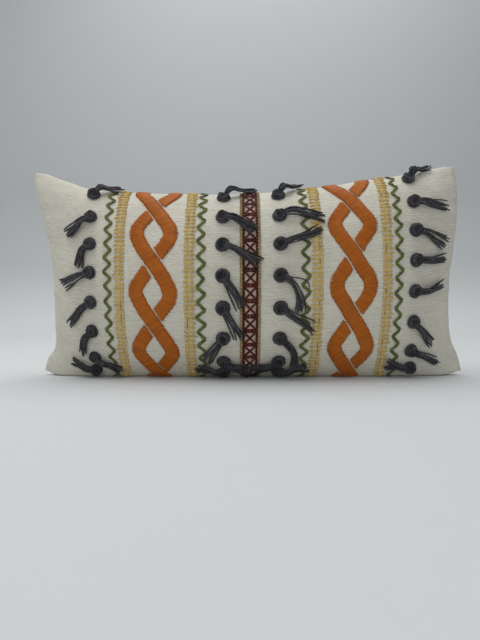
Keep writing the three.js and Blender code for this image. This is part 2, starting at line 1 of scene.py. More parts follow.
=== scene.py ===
"""Embroidered lumbar throw pillow with yarn tassels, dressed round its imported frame.

The cover is a filled bag of slubbed cotton, simulated as cloth. Its front is stitched with
rust, gold, olive and maroon thread, and hung with thirty-two knotted charcoal yarn tassels.
"""

import logging
import math
from dataclasses import dataclass, field
from enum import Enum
from typing import Any

import bpy
import numpy as np
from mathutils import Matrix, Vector


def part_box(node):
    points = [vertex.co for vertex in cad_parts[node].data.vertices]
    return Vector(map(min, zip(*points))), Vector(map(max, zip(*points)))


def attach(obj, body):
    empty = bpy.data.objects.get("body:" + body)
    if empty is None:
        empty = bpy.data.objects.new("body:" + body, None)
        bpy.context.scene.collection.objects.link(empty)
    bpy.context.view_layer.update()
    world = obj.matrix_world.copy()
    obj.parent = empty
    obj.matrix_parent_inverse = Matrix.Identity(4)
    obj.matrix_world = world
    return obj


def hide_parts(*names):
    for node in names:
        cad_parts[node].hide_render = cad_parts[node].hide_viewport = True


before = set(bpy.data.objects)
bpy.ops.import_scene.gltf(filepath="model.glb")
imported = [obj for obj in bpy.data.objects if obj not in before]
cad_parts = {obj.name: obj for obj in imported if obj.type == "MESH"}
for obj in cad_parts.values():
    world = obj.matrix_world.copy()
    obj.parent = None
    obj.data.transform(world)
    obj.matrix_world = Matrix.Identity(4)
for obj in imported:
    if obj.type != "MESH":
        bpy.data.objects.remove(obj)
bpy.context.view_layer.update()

log = logging.getLogger("pillow")
MM = 0.001


# ---- Small helpers -----------------------------------------------------------------


def linear(code: str) -> tuple[float, float, float, float]:
    """Turns an sRGB hex colour into linear light.

    Args:
        code: A colour such as "#c0a060".

    Returns:
        Red, green, blue and a full alpha, in linear light.
    """
    parts = [int(code[i : i + 2], 16) / 255 for i in (1, 3, 5)]
    bright = [p / 12.92 if p <= 0.04045 else ((p + 0.055) / 1.055) ** 2.4 for p in parts]
    return (*bright, 1.0)


def smooth_noise(shape: tuple[int, int], cells: float, seed: int) -> np.ndarray:
    """Makes a smooth random field between -1 and 1.

    Args:
        shape: Rows and columns of the field.
        cells: How many grid steps one swell of the field takes.
        seed: The random seed.

    Returns:
        The field.
    """
    rng = np.random.default_rng(seed)
    rows, columns = (int(n / cells) + 4 for n in shape)
    coarse = rng.uniform(-1, 1, (rows, columns))
    y = np.linspace(1, rows - 2.001, shape[0])
    x = np.linspace(1, columns - 2.001, shape[1])
    j, i = y.astype(int), x.astype(int)
    ty, tx = y - j, x - i
    ty, tx = ty * ty * (3 - 2 * ty), tx * tx * (3 - 2 * tx)
    a = coarse[j][:, i] * (1 - tx) + coarse[j][:, i + 1] * tx
    b = coarse[j + 1][:, i] * (1 - tx) + coarse[j + 1][:, i + 1] * tx
    return a * (1 - ty[:, None]) + b * ty[:, None]


def deselect() -> None:
    """Leaves nothing selected, so that the next operator acts on its own piece only."""
    bpy.ops.object.select_all(action="DESELECT")


def run_modifier(piece: Any, kind: str, **settings: Any) -> None:
    """Adds a modifier to a piece and applies it.

    Args:
        piece: The object.
        kind: The modifier's type name.
        **settings: The modifier's properties.
    """
    deselect()
    piece.select_set(True)
    bpy.context.view_layer.objects.active = piece
    made = piece.modifiers.new(kind.title(), kind)
    for name, value in settings.items():
        setattr(made, name, value)
    bpy.ops.object.modifier_apply(modifier=made.name)


def new_piece(name: str, points: np.ndarray, faces: list[Any]) -> Any:
    """Makes a named object from points and faces."""
    mesh = bpy.data.meshes.new(name)
    mesh.from_pydata(points.tolist(), [], faces)
    made = bpy.data.objects.new(name, mesh)
    bpy.context.scene.collection.objects.link(made)
    return made


def corner_points(mesh: Any) -> np.ndarray:
    """Lists the point number at every face corner of a mesh."""
    corner = np.zeros(len(mesh.loops), np.int32)
    mesh.loops.foreach_get("vertex_index", corner)
    return corner


def write_map(mesh: Any, name: str, places: np.ndarray) -> None:
    """Writes a UV map from one place a face corner."""
    layer = mesh.uv_layers.new(name=name)
    layer.data.foreach_set("uv", places.astype(np.float32).ravel())


def unit(ways: np.ndarray) -> np.ndarray:
    """Scales directions to a length of one."""
    return ways / np.maximum(np.linalg.norm(ways, axis=-1, keepdims=True), 1e-12)


def settle(piece: Any, body: str, nodes: list[str]) -> None:
    """Fixes a finished piece in the frame and reports it.

    Args:
        piece: The finished object.
        body: The body it moves with.
        nodes: The CAD nodes it stands for.
    """
    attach(piece, body)
    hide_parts(*nodes)
    log.info("%s: %d faces on %s", piece.name, len(piece.data.polygons), body)


# ---- Materials ---------------------------------------------------------------------

# A Wave texture at scale 1 repeats at 20 / (2 pi), so this over a pitch gives its scale.
WAVE_SCALE = 2 * math.pi / 20


def new_material(name: str) -> tuple[Any, Any, Any]:
    """Starts a material.

    Args:
        name: The finish's name.

    Returns:
        The material, its node tree and its Principled shader.
    """
    material = bpy.data.materials.new(name)
    material.use_nodes = True
    tree = material.node_tree
    return material, tree, tree.nodes["Principled BSDF"]


def add_node(
    tree: Any, kind: str, out: str | int, inputs: dict[Any, Any] | None = None, **settings: Any
) -> Any:
    """Adds a shader node, with its settings and its links.

    Args:
        tree: The material's node tree.
        kind: The node's type name, after "ShaderNode".
        out: The name or number of the output to hand back.
        inputs: What goes into each input: a value, or another node's output to link.
        **settings: The node's own properties.

    Returns:
        The new node's output.
    """
    made = tree.nodes.new("ShaderNode" + kind)
    for name, value in settings.items():
        setattr(made, name, value)
    for name, value in (inputs or {}).items():
        if isinstance(value, bpy.types.NodeSocket):
            tree.links.new(value, made.inputs[name])
        else:
            made.inputs[name].default_value = value
    return made.outputs[out]


def noise(tree: Any, place: Any, scale: Any, detail: float, out: str = "Fac", **more: float) -> Any:
    """Adds a noise texture.

    Args:
        tree: The material's node tree.
        place: The coordinates.
        scale: Its scale, or three scales for a stretched noise.
        detail: How many finer layers it has.
        out: The output to hand back.
        **more: Its other inputs.

    Returns:
        The noise's output.
    """
    if isinstance(scale, tuple):
        place = add_node(tree, "Mapping", "Vector", {"Vector": place, "Scale": scale})
        scale = 1.0
    inputs = {"Vector": place, "Scale": scale, "Detail": detail, **more}
    return add_node(tree, "TexNoise", out, inputs)


def bands(tree: Any, place: Any, scale: float, distortion: float, way: str = "X",
          detail_scale: float = 1.0) -> Any:
    """Adds soft parallel bands that follow one another along an axis."""
    inputs = {"Vector": place, "Scale": scale, "Distortion": distortion,
              "Detail Scale": detail_scale}
    return add_node(tree, "TexWave", "Fac", inputs, bands_direction=way)


def weigh(tree: Any, value: Any, share: float, more: Any) -> Any:
    """Adds a share of one value to another."""
    return add_node(tree, "Math", "Value", {0: value, 1: share, 2: more},
                    operation="MULTIPLY_ADD")


def ranged(tree: Any, value: Any, low: float, high: float, to: tuple[float, float] = (0.0, 1.0),
           **settings: Any) -> Any:
    """Maps a value's range from low to high onto another."""
    inputs = {"Value": value, "From Min": low, "From Max": high, "To Min": to[0], "To Max": to[1]}
    return add_node(tree, "MapRange", "Result", inputs, **settings)


def blend(tree: Any, share: Any, dark: str, light: str) -> Any:
    """Mixes two hex colours. The Mix node's colours are inputs 6 and 7 and output 2."""
    inputs = {"Factor": share, 6: linear(dark), 7: linear(light)}
    return add_node(tree, "Mix", 2, inputs, data_type="RGBA")


def toned(tree: Any, colour: Any, value: Any) -> Any:
    """Multiplies a colour's brightness."""
    return add_node(tree, "HueSaturation", "Color", {"Color": colour, "Value": value})


def bump(tree: Any, height: Any, strength: float, distance: float) -> Any:
    """Turns a height into a bumped normal."""
    return add_node(tree, "Bump", "Normal",
                    {"Height": height, "Strength": strength, "Distance": distance})


def dress_shader(
    tree: Any, shader: Any, colour: Any, normal: Any, values: dict[str, float]
) -> None:
    """Links a shader's colour and normal, and sets its uniform values."""
    tree.links.new(colour, shader.inputs["Base Color"])
    if normal:
        tree.links.new(normal, shader.inputs["Normal"])
    for name, value in values.items():
        shader.inputs[name].default_value = value


@dataclass(frozen=True)
class WovenCloth:
    """Plain woven cotton whose thicker slub threads run across the width.

    The eye sees soft level ribs of uneven thickness, a matt surface with a little bloom at
    grazing angles, and a faint mottling where the undyed cotton varies.
    """

    name: str
    light: str
    dark: str
    rib: float = 2.9 * MM  # thread pitch, drawn coarser than its real 1 mm so that it shows
    slub_length: float = 42 * MM
    slub_height: float = 3.4 * MM
    relief: float = 0.6 * MM

    def material(self) -> Any:
        """Builds the cloth's material from its UV map, which holds metres of flat cloth."""
        material, tree, shader = new_material(self.name)
        place = add_node(tree, "UVMap", "UV", uv_map="cloth")
        wobble = noise(tree, place, 55.0, 3.0, "Color")
        bent = add_node(tree, "VectorMath", "Vector",
                        {0: wobble, 1: (0.004, 0.0065, 0.0), 2: place}, operation="MULTIPLY_ADD")
        slub = noise(tree, place, (1 / self.slub_length, 1 / self.slub_height, 1.0), 3.0,
                     Roughness=0.6)
        fine = noise(tree, place, (4 / self.slub_length, 2.4 / self.slub_height, 1.0), 2.0)
        weft = bands(tree, bent, WAVE_SCALE / self.rib, 2.6, "Y", 2.0)
        warp = bands(tree, bent, WAVE_SCALE / (self.rib * 0.8), 0.8)
        threads = weigh(tree, fine, 1.2, weigh(tree, warp, 0.22, weigh(tree, weft, 0.55, slub)))
        woven = blend(tree, ranged(tree, threads, 0.75, 1.75), self.dark, self.light)
        mottle = ranged(tree, noise(tree, place, 9.0, 3.0), 0.3, 0.7, (0.94, 1.03))
        dress_shader(
            tree, shader, toned(tree, woven, mottle), bump(tree, threads, 0.85, self.relief),
            {"Roughness": 0.93, "Specular IOR Level": 0.25, "Sheen Weight": 0.18,
             "Sheen Roughness": 0.55})
        return material


@dataclass(frozen=True)
class SpunThread:
    """Twisted thread or yarn: fine plies wound round each other, softly fuzzy.

    The eye sees slanted lines between the plies, darkened with painted shade, a tone that changes
    from stitch to stitch, and a soft bloom along the edges.
    """

    name: str
    light: str
    dark: str
    ply: float = 1.6 * MM  # from one ply line to the next along the thread
    relief: float = 0.22 * MM
    groove_shade: float = 0.55  # how dark the painted shade in the lines between the plies is
    roughness: float = 0.7
    sheen: float = 0.3
    turns: float = 2.0  # ply lines met round the thread

    def material(self) -> Any:
        """Builds the thread's material. Its UV map holds metres along and turns round."""
        material, tree, shader = new_material(self.name)
        place = add_node(tree, "UVMap", "UV", uv_map="thread")
        slant = (WAVE_SCALE / self.ply, WAVE_SCALE * self.turns, 1.0)
        slanted = add_node(tree, "Mapping", "Vector", {"Vector": place, "Scale": slant})
        total = add_node(tree, "VectorMath", "Value", {0: slanted, 1: (1.0, 1.0, 0.0)},
                         operation="DOT_PRODUCT")
        plies = bands(tree, add_node(tree, "CombineXYZ", "Vector", {"X": total}), 1.0, 0.0)
        fuzz = noise(tree, place, (700.0, 5.0, 1.0), 3.0)
        tone = add_node(tree, "Attribute", "Fac", attribute_name="tone")
        shade = ranged(tree, weigh(tree, fuzz, 0.5, tone), 0.1, 1.3)
        # Painted shade: the colour is darkened in the grooves between the plies.
        depth = ranged(tree, plies, 0.0, 0.55, (1 - self.groove_shade, 1.0))
        dress_shader(
            tree, shader, toned(tree, blend(tree, shade, self.dark, self.light), depth),
            bump(tree, weigh(tree, fuzz, 0.35, plies), 0.8, self.relief),
            {"Roughness": self.roughness, "Specular IOR Level": 0.35, "Sheen Weight": self.sheen,
             "Sheen Roughness": 0.4})
        return material


class Pattern(Enum):
    """What the surface of a small hard or woven part shows."""

    LINES = "tape ribs or coil turns"
    BRUSHED = "brushed"
    FIBRES = "fibres"


@dataclass(frozen=True)
class PartFinish:
    """The finish of the zip's parts and of the filling, patterned in object space."""

    name: str
    light: str
    dark: str
    pattern: Pattern
    pitch: float
    roughness: float
    metallic: float = 0.0
    relief: float = 0.1 * MM
    sheen: float = 0.0

    def material(self) -> Any:
        """Builds the finish from lines or fibres at their real pitch."""
        material, tree, shader = new_material(self.name)
        place = add_node(tree, "TexCoord", "Object")
        if self.pattern is Pattern.LINES:
            texture = bands(tree, place, WAVE_SCALE / self.pitch, 0.2)
        elif self.pattern is Pattern.BRUSHED:
            stretch = (1 / (self.pitch * 12), 1 / self.pitch, 1 / self.pitch)
            texture = noise(tree, place, stretch, 3.0)
        else:
            texture = noise(tree, place, 1 / self.pitch, 6.0, Distortion=2.0)
        blotch = noise(tree, place, 0.2 / self.pitch, 2.0)
        shade = ranged(tree, weigh(tree, blotch, 0.4, texture), 0.2, 1.1)
        dress_shader(
            tree, shader, blend(tree, shade, self.dark, self.light),
            bump(tree, texture, 0.6, self.relief),
            {"Roughness": self.roughness, "Metallic": self.metallic, "Sheen Weight": self.sheen})
        return material


COVER_CLOTH = WovenCloth("slubbed cotton", "#ebe6d7", "#c0baa8")
INSERT_CLOTH = WovenCloth("insert cotton", "#f0eee8", "#d6d3ca", rib=1.6 * MM, relief=0.2 * MM)
RUST_THREAD = SpunThread("rust stranded cotton", "#cd7110", "#a05006", ply=24 * MM, groove_shade=0.1,
                         sheen=0.08)
CREAM_THREAD = SpunThread("cream cotton", "#f0e4bc", "#d8c898", ply=4 * MM, groove_shade=0.12)
GOLD_THREAD = SpunThread("pale gold cotton", "#ebc66e", "#c69f4c", ply=4 * MM, groove_shade=0.15)
OCHRE_THREAD = SpunThread("ochre cotton", "#b98d3a", "#7d5c20", ply=4 * MM, groove_shade=0.3)
OLIVE_THREAD = SpunThread("olive cotton", "#7a8542", "#4d5625", ply=4 * MM, groove_shade=0.35,
                          sheen=0.1)
MAROON_THREAD = SpunThread("maroon cotton", "#6c2013", "#3c0c06", ply=2.5 * MM, sheen=0.1)
PINK_THREAD = SpunThread("pink cream cotton", "#f3dccb", "#d9b9a6", ply=4 * MM, groove_shade=0.2)
BRAID_THREAD = SpunThread("old gold cotton", "#c9aa62", "#86662c", ply=2.5 * MM)
CHARCOAL_YARN = SpunThread(
    "charcoal wool yarn", "#5c5a60", "#232226", ply=4.2 * MM, relief=0.4 * MM, sheen=0.25,
    roughness=0.9, groove_shade=0.6,
)
FIBRE = PartFinish("hollow polyester fibre", "#f6f6f4", "#d9d9d6", Pattern.FIBRES, 4 * MM, 0.85,
                   relief=0.8 * MM, sheen=0.4)
ZIP_TAPE = PartFinish("woven polyester zip tape", "#d4cec2", "#b3ac9e", Pattern.LINES,
                      1.1 * MM, 0.85, sheen=0.1)
ZIP_COIL = PartFinish("moulded nylon coil", "#ded9cc", "#aaa495", Pattern.LINES, 1.5 * MM,
                      0.42, relief=0.5 * MM)
ZIP_METAL = PartFinish("plated zinc", "#b9b9b6", "#8d8d8a", Pattern.BRUSHED, 0.25 * MM, 0.34,
                       metallic=1.0, relief=0.02 * MM)


# ---- The filled cover --------------------------------------------------------------


@dataclass
class BagForm:
    """The shape of a filled bag that stands on its long bottom seam."""

    width: float = 660 * MM  # flat, seam to seam
    height: float = 356 * MM
    crown: float = 166 * MM
    # The top seam: how far along it, -1 to 1, and how high in mm.
    top_seam: tuple[tuple[float, float], ...] = (
        (-1.0, 316.0), (-0.93, 309.5), (-0.877, 301.0), (-0.81, 293.5), (-0.73, 285.0),
        (-0.54, 279.0), (-0.17, 276.0), (0.05, 278.0), (0.32, 286.0), (0.5, 295.0),
        (0.76, 307.5), (0.86, 314.0), (0.945, 321.5), (1.0, 325.0))
    # The two side seams: how high along the seam, -1 to 1, and how far from the middle in mm.
    left_side: tuple[tuple[float, float], ...] = (
        (-1.0, 319.0), (-0.84, 308.5), (-0.72, 296.5), (-0.45, 294.8), (-0.15, 296.0),
        (0.1, 299.0), (0.35, 306.0), (0.68, 319.0), (1.0, 331.0))
    right_side: tuple[tuple[float, float], ...] = (
        (-1.0, 338.0), (-0.82, 326.5), (-0.65, 314.5), (-0.4, 309.6), (-0.1, 310.5),
        (0.15, 315.0), (0.45, 320.5), (0.72, 321.5), (1.0, 321.0))
    base_half: float = 19.25 * MM
    base: float = 0.0
    inset: float = 0.0
    corner_inset: float = 0.0
    corner_blunt: float = 6.5 * MM  # how far a turned-out corner's tip is rounded back
    corner_reach: float = 22 * MM

    def half(self, columns: int, rows: int) -> np.ndarray:
        """Finds the front half of the bag, set out from the seam plane at y = 0.

        Args:
            columns: Cells across the flat width.
            rows: Cells up the flat height.

        Returns:
            Points as rows by columns by three, from the bottom seam up, left to right.
        """
        half_u = self.width / 2
        s = np.linspace(-1, 1, columns + 1)
        t = np.linspace(-1, 1, rows + 1)
        seam = arc(list(self.top_seam), 12)
        top = np.interp(s, seam[:, 0], seam[:, 1]) * MM - self.corner_inset
        depth = (self.crown / 2 - self.inset) * (1 - np.abs(s) ** 2.5) ** 0.6
        flat_half = self.base_half * (1 - np.abs(s) ** 8)
        across = np.where(depth > 0, flat_half / np.maximum(depth, 1e-9), 0)
        up = np.sqrt(1 - np.clip(across, 0, 0.999) ** (2 / 1.2))
        sink = (top - self.base) * (1 - up) / (1 + up)
        angle = np.pi * (np.linspace(0, 1, 129) - 0.5)
        made = np.zeros((rows + 1, columns + 1, 3))
        for i in range(columns + 1):
            middle = (top[i] + self.base - sink[i]) / 2
            reach = (top[i] - self.base + sink[i]) / 2
            out = depth[i] * np.cos(angle) ** 1.2
            high = np.maximum(middle + reach * np.sin(angle), self.base)
            run = distances(np.stack([out, high], -1))
            share = (t + 1) / 2 * run[-1]
            made[:, i, 1] = -np.interp(share, run, out)
            made[:, i, 2] = np.interp(share, run, high)
        made[:, :, 0] = half_u * s[None]
        for way, outline in ((-1, self.left_side), (1, self.right_side)):
            curve = arc(list(outline), 12)
            side = np.interp(t, curve[:, 0], curve[:, 1]) * MM - self.corner_inset
            drawn = (half_u - side)[:, None] * np.abs(s)[None] ** 4.5
            made[:, :, 0] -= np.where(s[None] * way > 0, way * drawn, 0.0)
        inward = half_u * (1 - np.abs(s))[None] + self.height / 2 * (1 - np.abs(t))[:, None]
        blunt = self.corner_blunt * np.exp(-((inward / self.corner_reach) ** 1.5))
        made[:, :, 0] -= np.sign(s)[None] * blunt
        made[:, :, 2] -= np.sign(t)[:, None] * blunt
        return made


def bag_volume(half: np.ndarray) -> float:
    """Adds up the space inside a bag, twice that of its front half."""
    right, up = np.gradient(half, axis=1), np.gradient(half, axis=0)
    area = right[..., 0] * up[..., 2] - right[..., 2] * up[..., 0]
    return float(-2 * (half[..., 1] * area).sum())


def bag_faces(columns: int, rows: int) -> tuple[np.ndarray, np.ndarray, np.ndarray]:
    """Numbers the points of a bag whose two sides share their edge.

    Args:
        columns: Cells across each side.
        rows: Cells up each side.

    Returns:
        The front's point numbers, the back's, and the faces as four numbers each.
    """
    front = np.arange((rows + 1) * (columns + 1)).reshape(rows + 1, columns + 1)
    inner = np.zeros(front.shape, bool)
    inner[1:-1, 1:-1] = True
    back = front.copy()
    back[inner] = front.size + np.arange(inner.sum())
    quads = []
    for grid, order in ((front, (0, 1, 2, 3)), (back, (3, 2, 1, 0))):
        corners = [grid[:-1, :-1], grid[:-1, 1:], grid[1:, 1:], grid[1:, :-1]]
        quads.append(np.stack([corners[k] for k in order], -1).reshape(-1, 4))
    return front, back, np.concatenate(quads)


def bag_points(half: np.ndarray, plane: float) -> np.ndarray:
    """Lists a bag's points in the order of bag_faces, with its seam in a plane at y."""
    front = half + [0, plane, 0]
    back = half * [1, -1, 1] + [0, plane, 0]
    return np.concatenate([front.reshape(-1, 3), back[1:-1, 1:-1].reshape(-1, 3)])


@dataclass
class Cover:
    """The cover: two panels of slubbed cotton, filled until their crown stands out."""

    form: BagForm = field(default_factory=BagForm)
    columns: int = 132
    rows: int = 72
    frames: int = 24
    cap: float = 9 * MM  # the furthest the cloth may settle from the form
    ease: float = 0.985  # the seams take up a little of the flat cloth
    hold: float = 0.5  # how firmly the filling holds the cloth to the form
    plane: float = 0.0
    piece: Any = None

    def build(self) -> "ClothMap":
        """Makes the cover's mesh, lets the cloth settle, and dresses it.

        Returns:
            The map from the flat front cloth to its filled place.
        """
        half = self.form.half(self.columns, self.rows)
        front, back, faces = bag_faces(self.columns, self.rows)
        points = bag_points(half, self.plane)
        self.piece = new_piece("pillow_cover", points, faces.tolist())
        mesh = self.piece.data
        self.lay_cloth_map(front, back)
        points = self.settle_cloth(points, front, back, bag_volume(half))
        points = self.gather(points, front, back)
        points[:, 2] = np.maximum(points[:, 2], 0.0)
        mesh.vertices.foreach_set("co", points.astype(np.float32).ravel())
        mesh.update()
        self.crease_seam(front)
        run_modifier(self.piece, "SUBSURF", levels=1, render_levels=1)
        mesh.shade_smooth()
        mesh.materials.append(COVER_CLOTH.material())
        return ClothMap.from_cover(self)

    def lay_cloth_map(self, front: np.ndarray, back: np.ndarray) -> None:
        """Writes each face corner's place on the flat cloth, in metres, as a UV map."""
        mesh = self.piece.data
        flat = np.zeros((len(mesh.vertices), 2))
        flat[front] = flat[back] = self.flat_grid()
        spread = flat[corner_points(mesh)]
        spread[len(spread) // 2 :, 0] += 1.0  # the back has its own stretch of cloth
        write_map(mesh, "cloth", spread)

    def flat_grid(self) -> np.ndarray:
        """Lists the places of one panel's points on the flat cloth, from its middle."""
        u = np.linspace(-0.5, 0.5, self.columns + 1) * self.form.width
        v = np.linspace(-0.5, 0.5, self.rows + 1) * self.form.height
        return np.stack(np.meshgrid(u, v), -1)

    def settle_cloth(
        self, points: np.ndarray, front: np.ndarray, back: np.ndarray, volume: float
    ) -> np.ndarray:
        """Simulates the flat-cut cloth over its filling.

        Args:
            points: The starting places.
            front: The front's point numbers.
            back: The back's point numbers.
            volume: The space its filling takes up.

        Returns:
            The settled places, none further than the cap from its start.
        """
        piece = self.piece
        flat = np.zeros((len(points), 3))
        for grid, y in ((front, -0.5 * MM), (back, 0.5 * MM)):
            flat[grid] = self.flat_grid()[..., [0, 1, 1]]
            flat[grid, 1] = y
        flat[:, [0, 2]] *= self.ease
        piece.shape_key_add(name="Basis")
        key = piece.shape_key_add(name="flat")
        key.data.foreach_set("co", flat.astype(np.float32).ravel())
        key.value = 0.0
        hold = piece.vertex_groups.new(name="hold")
        seam = np.unique(np.concatenate([front[0], front[1]]))
        hold.add(list(range(len(points))), self.hold, "REPLACE")
        hold.add([int(n) for n in seam], 1.0, "REPLACE")
        cloth = piece.modifiers.new("Cloth", "CLOTH")
        for name, value in {
            "vertex_group_mass": "hold", "pin_stiffness": 1.0, "rest_shape_key": key,
            "quality": 6, "mass": 0.0002, "tension_stiffness": 25, "compression_stiffness": 25,
            "shear_stiffness": 8, "bending_stiffness": 0.35, "tension_damping": 10,
            "compression_damping": 10, "shear_damping": 5, "bending_damping": 1,
            "air_damping": 3, "use_pressure": True, "use_pressure_volume": True,
            "uniform_pressure_force": 0.0, "target_volume": volume, "pressure_factor": 20,
            "fluid_density": 0,
        }.items():
            setattr(cloth.settings, name, value)
        cloth.settings.effector_weights.gravity = 0.0
        cloth.collision_settings.use_collision = False
        cloth.collision_settings.use_self_collision = False
        scene = bpy.context.scene
        cloth.point_cache.frame_start, cloth.point_cache.frame_end = 1, self.frames
        scene.frame_start, scene.frame_end = 1, self.frames
        for number in range(1, self.frames + 1):
            scene.frame_set(number)
        seen = piece.evaluated_get(bpy.context.evaluated_depsgraph_get()).to_mesh()
        settled = np.zeros(len(points) * 3, np.float32)
        seen.vertices.foreach_get("co", settled)
        settled = settled.reshape(-1, 3).astype(float)
        piece.modifiers.remove(cloth)
        piece.shape_key_clear()
        piece.vertex_groups.clear()
        scene.frame_set(1)
        moved = settled - points
        far = np.linalg.norm(moved, axis=1, keepdims=True)
        log.info("the form holds %.4f cubic metres", volume)
        log.info("cloth settled, furthest %.1f mm, mean %.2f mm", far.max() / MM, far.mean() / MM)
        kept = np.tanh(far / self.cap) * self.cap
        return points + moved * kept / np.maximum(far, 1e-9)

    def gather(self, points: np.ndarray, front: np.ndarray, back: np.ndarray) -> np.ndarray:
        """Adds the small puckers that the seams draw into the cloth beside them.

        Args:
            points: The places of the cover's points.
            front: The front's point numbers.
            back: The back's point numbers.

        Returns:
            The puckered places.
        """
        u = np.linspace(0, 1, self.columns + 1)[None] * self.form.width
        v = np.linspace(0, 1, self.rows + 1)[:, None] * self.form.height
        to_side = np.minimum(u, self.form.width - u) + 0 * v
        to_end = np.minimum(v, self.form.height - v) + 0 * u
        made = points.copy()
        for grid, sign, seed in ((front, -1, 5), (back, 1, 6)):
            wide = smooth_noise(grid.shape, 3.4, seed) + 0.6 * smooth_noise(grid.shape, 7, seed + 2)
            along_side = smooth_noise((grid.shape[0], 3), 2.6, seed + 10)[:, 1:2]
            along_top = smooth_noise((3, grid.shape[1]), 2.6, seed + 20)[1:2]
            side = np.exp(-to_side / 0.026) * (1 - np.exp(-to_side / 0.004)) * along_side
            top = np.exp(-to_end / 0.020) * (1 - np.exp(-to_end / 0.004)) * along_top
            lift = 3.4 * MM * side + 1.8 * MM * top + 0.8 * MM * wide * (to_side > 0.004)
            made[grid, 1] += sign * lift * (1 - np.exp(-to_end / 0.004))
        return made

    def crease_seam(self, front: np.ndarray) -> None:
        """Keeps the sewn edge crisp when the cloth is subdivided."""
        mesh = self.piece.data
        rim = np.zeros(len(mesh.vertices), bool)
        rim[np.concatenate([front[0], front[-1], front[:, 0], front[:, -1]])] = True
        ends = np.zeros(len(mesh.edges) * 2, np.int32)
        mesh.edges.foreach_get("vertices", ends)
        on_rim = rim[ends.reshape(-1, 2)].all(1)
        crease = mesh.attributes.new("crease_edge", "FLOAT", "EDGE")
        crease.data.foreach_set("value", np.where(on_rim, 0.6, 0.0).astype(np.float32))

    def finish(self) -> None:
        """Puts the cover in the frame."""
        settle(self.piece, "cushion", ["front_panel", "back_panel"])


class ClothMap:
    """Finds places over the filled front from distances along its flat cloth."""

    def __init__(self, points: np.ndarray, width: float, height: float) -> None:
        """Keeps the front's points and works out its outward directions.

        Args:
            points: Rows by columns by three, bottom to top and left to right.
            width: The flat cloth's width.
            height: The flat cloth's height.
        """
        self.points, self.width, self.height = points, width, height
        right = np.gradient(points, axis=1)
        up = np.gradient(points, axis=0)
        self.out = unit(np.cross(right, up))

    @classmethod
    def from_cover(cls, cover: Cover) -> "ClothMap":
        """Reads the finished cover's front back into a grid."""
        mesh = cover.piece.data
        columns, rows = cover.columns * 2, cover.rows * 2
        uv = np.zeros(len(mesh.loops) * 2, np.float32)
        mesh.uv_layers["cloth"].data.foreach_get("uv", uv)
        corner = corner_points(mesh)
        co = np.zeros(len(mesh.vertices) * 3, np.float32)
        mesh.vertices.foreach_get("co", co)
        uv, co = uv.reshape(-1, 2).astype(float), co.reshape(-1, 3).astype(float)
        is_front = uv[:, 0] < 0.5
        i = np.rint((uv[is_front, 0] / cover.form.width + 0.5) * columns).astype(int)
        j = np.rint((uv[is_front, 1] / cover.form.height + 0.5) * rows).astype(int)
        grid = np.zeros((rows + 1, columns + 1, 3))
        grid[np.clip(j, 0, rows), np.clip(i, 0, columns)] = co[corner[is_front]]
        return cls(grid, cover.form.width, cover.form.height)

    def calmed(self, passes: int) -> "ClothMap":
        """Returns a copy whose small wrinkles are smoothed away."""
        points = self.points.copy()
        for _ in range(passes):
            inner = points[1:-1, 1:-1]
            ring = points[:-2, 1:-1] + points[2:, 1:-1] + points[1:-1, :-2] + points[1:-1, 2:]
            points[1:-1, 1:-1] = inner * 0.4 + ring * 0.15
        return ClothMap(points, self.width, self.height)

    def place(self, flat: np.ndarray) -> np.ndarray:
        """Moves points from the flat cloth to the filled cover.

        Args:
            flat: Right, up and height over the cloth, in metres, one row a point.

        Returns:
            The places in the frame.
        """
        rows, columns = self.points.shape[:2]
        x = np.clip((flat[:, 0] / self.width + 0.5) * (columns - 1), 0, columns - 1.001)
        y = np.clip((flat[:, 1] / self.height + 0.5) * (rows - 1), 0, rows - 1.001)
        i, j = x.astype(int), y.astype(int)
        tx, ty = (x - i)[:, None], (y - j)[:, None]

        def blended(grid: np.ndarray) -> np.ndarray:
            """Mixes a grid's four nearest values."""
            low = grid[j, i] * (1 - tx) + grid[j, i + 1] * tx
            high = grid[j + 1, i] * (1 - tx) + grid[j + 1, i + 1] * tx
            return low * (1 - ty) + high * ty

        made = blended(self.points) + blended(self.out) * flat[:, 2:3]
        made[:, 2] = np.maximum(made[:, 2], 0.25 * MM)
        return made


# ---- Threads and stitches ----------------------------------------------------------


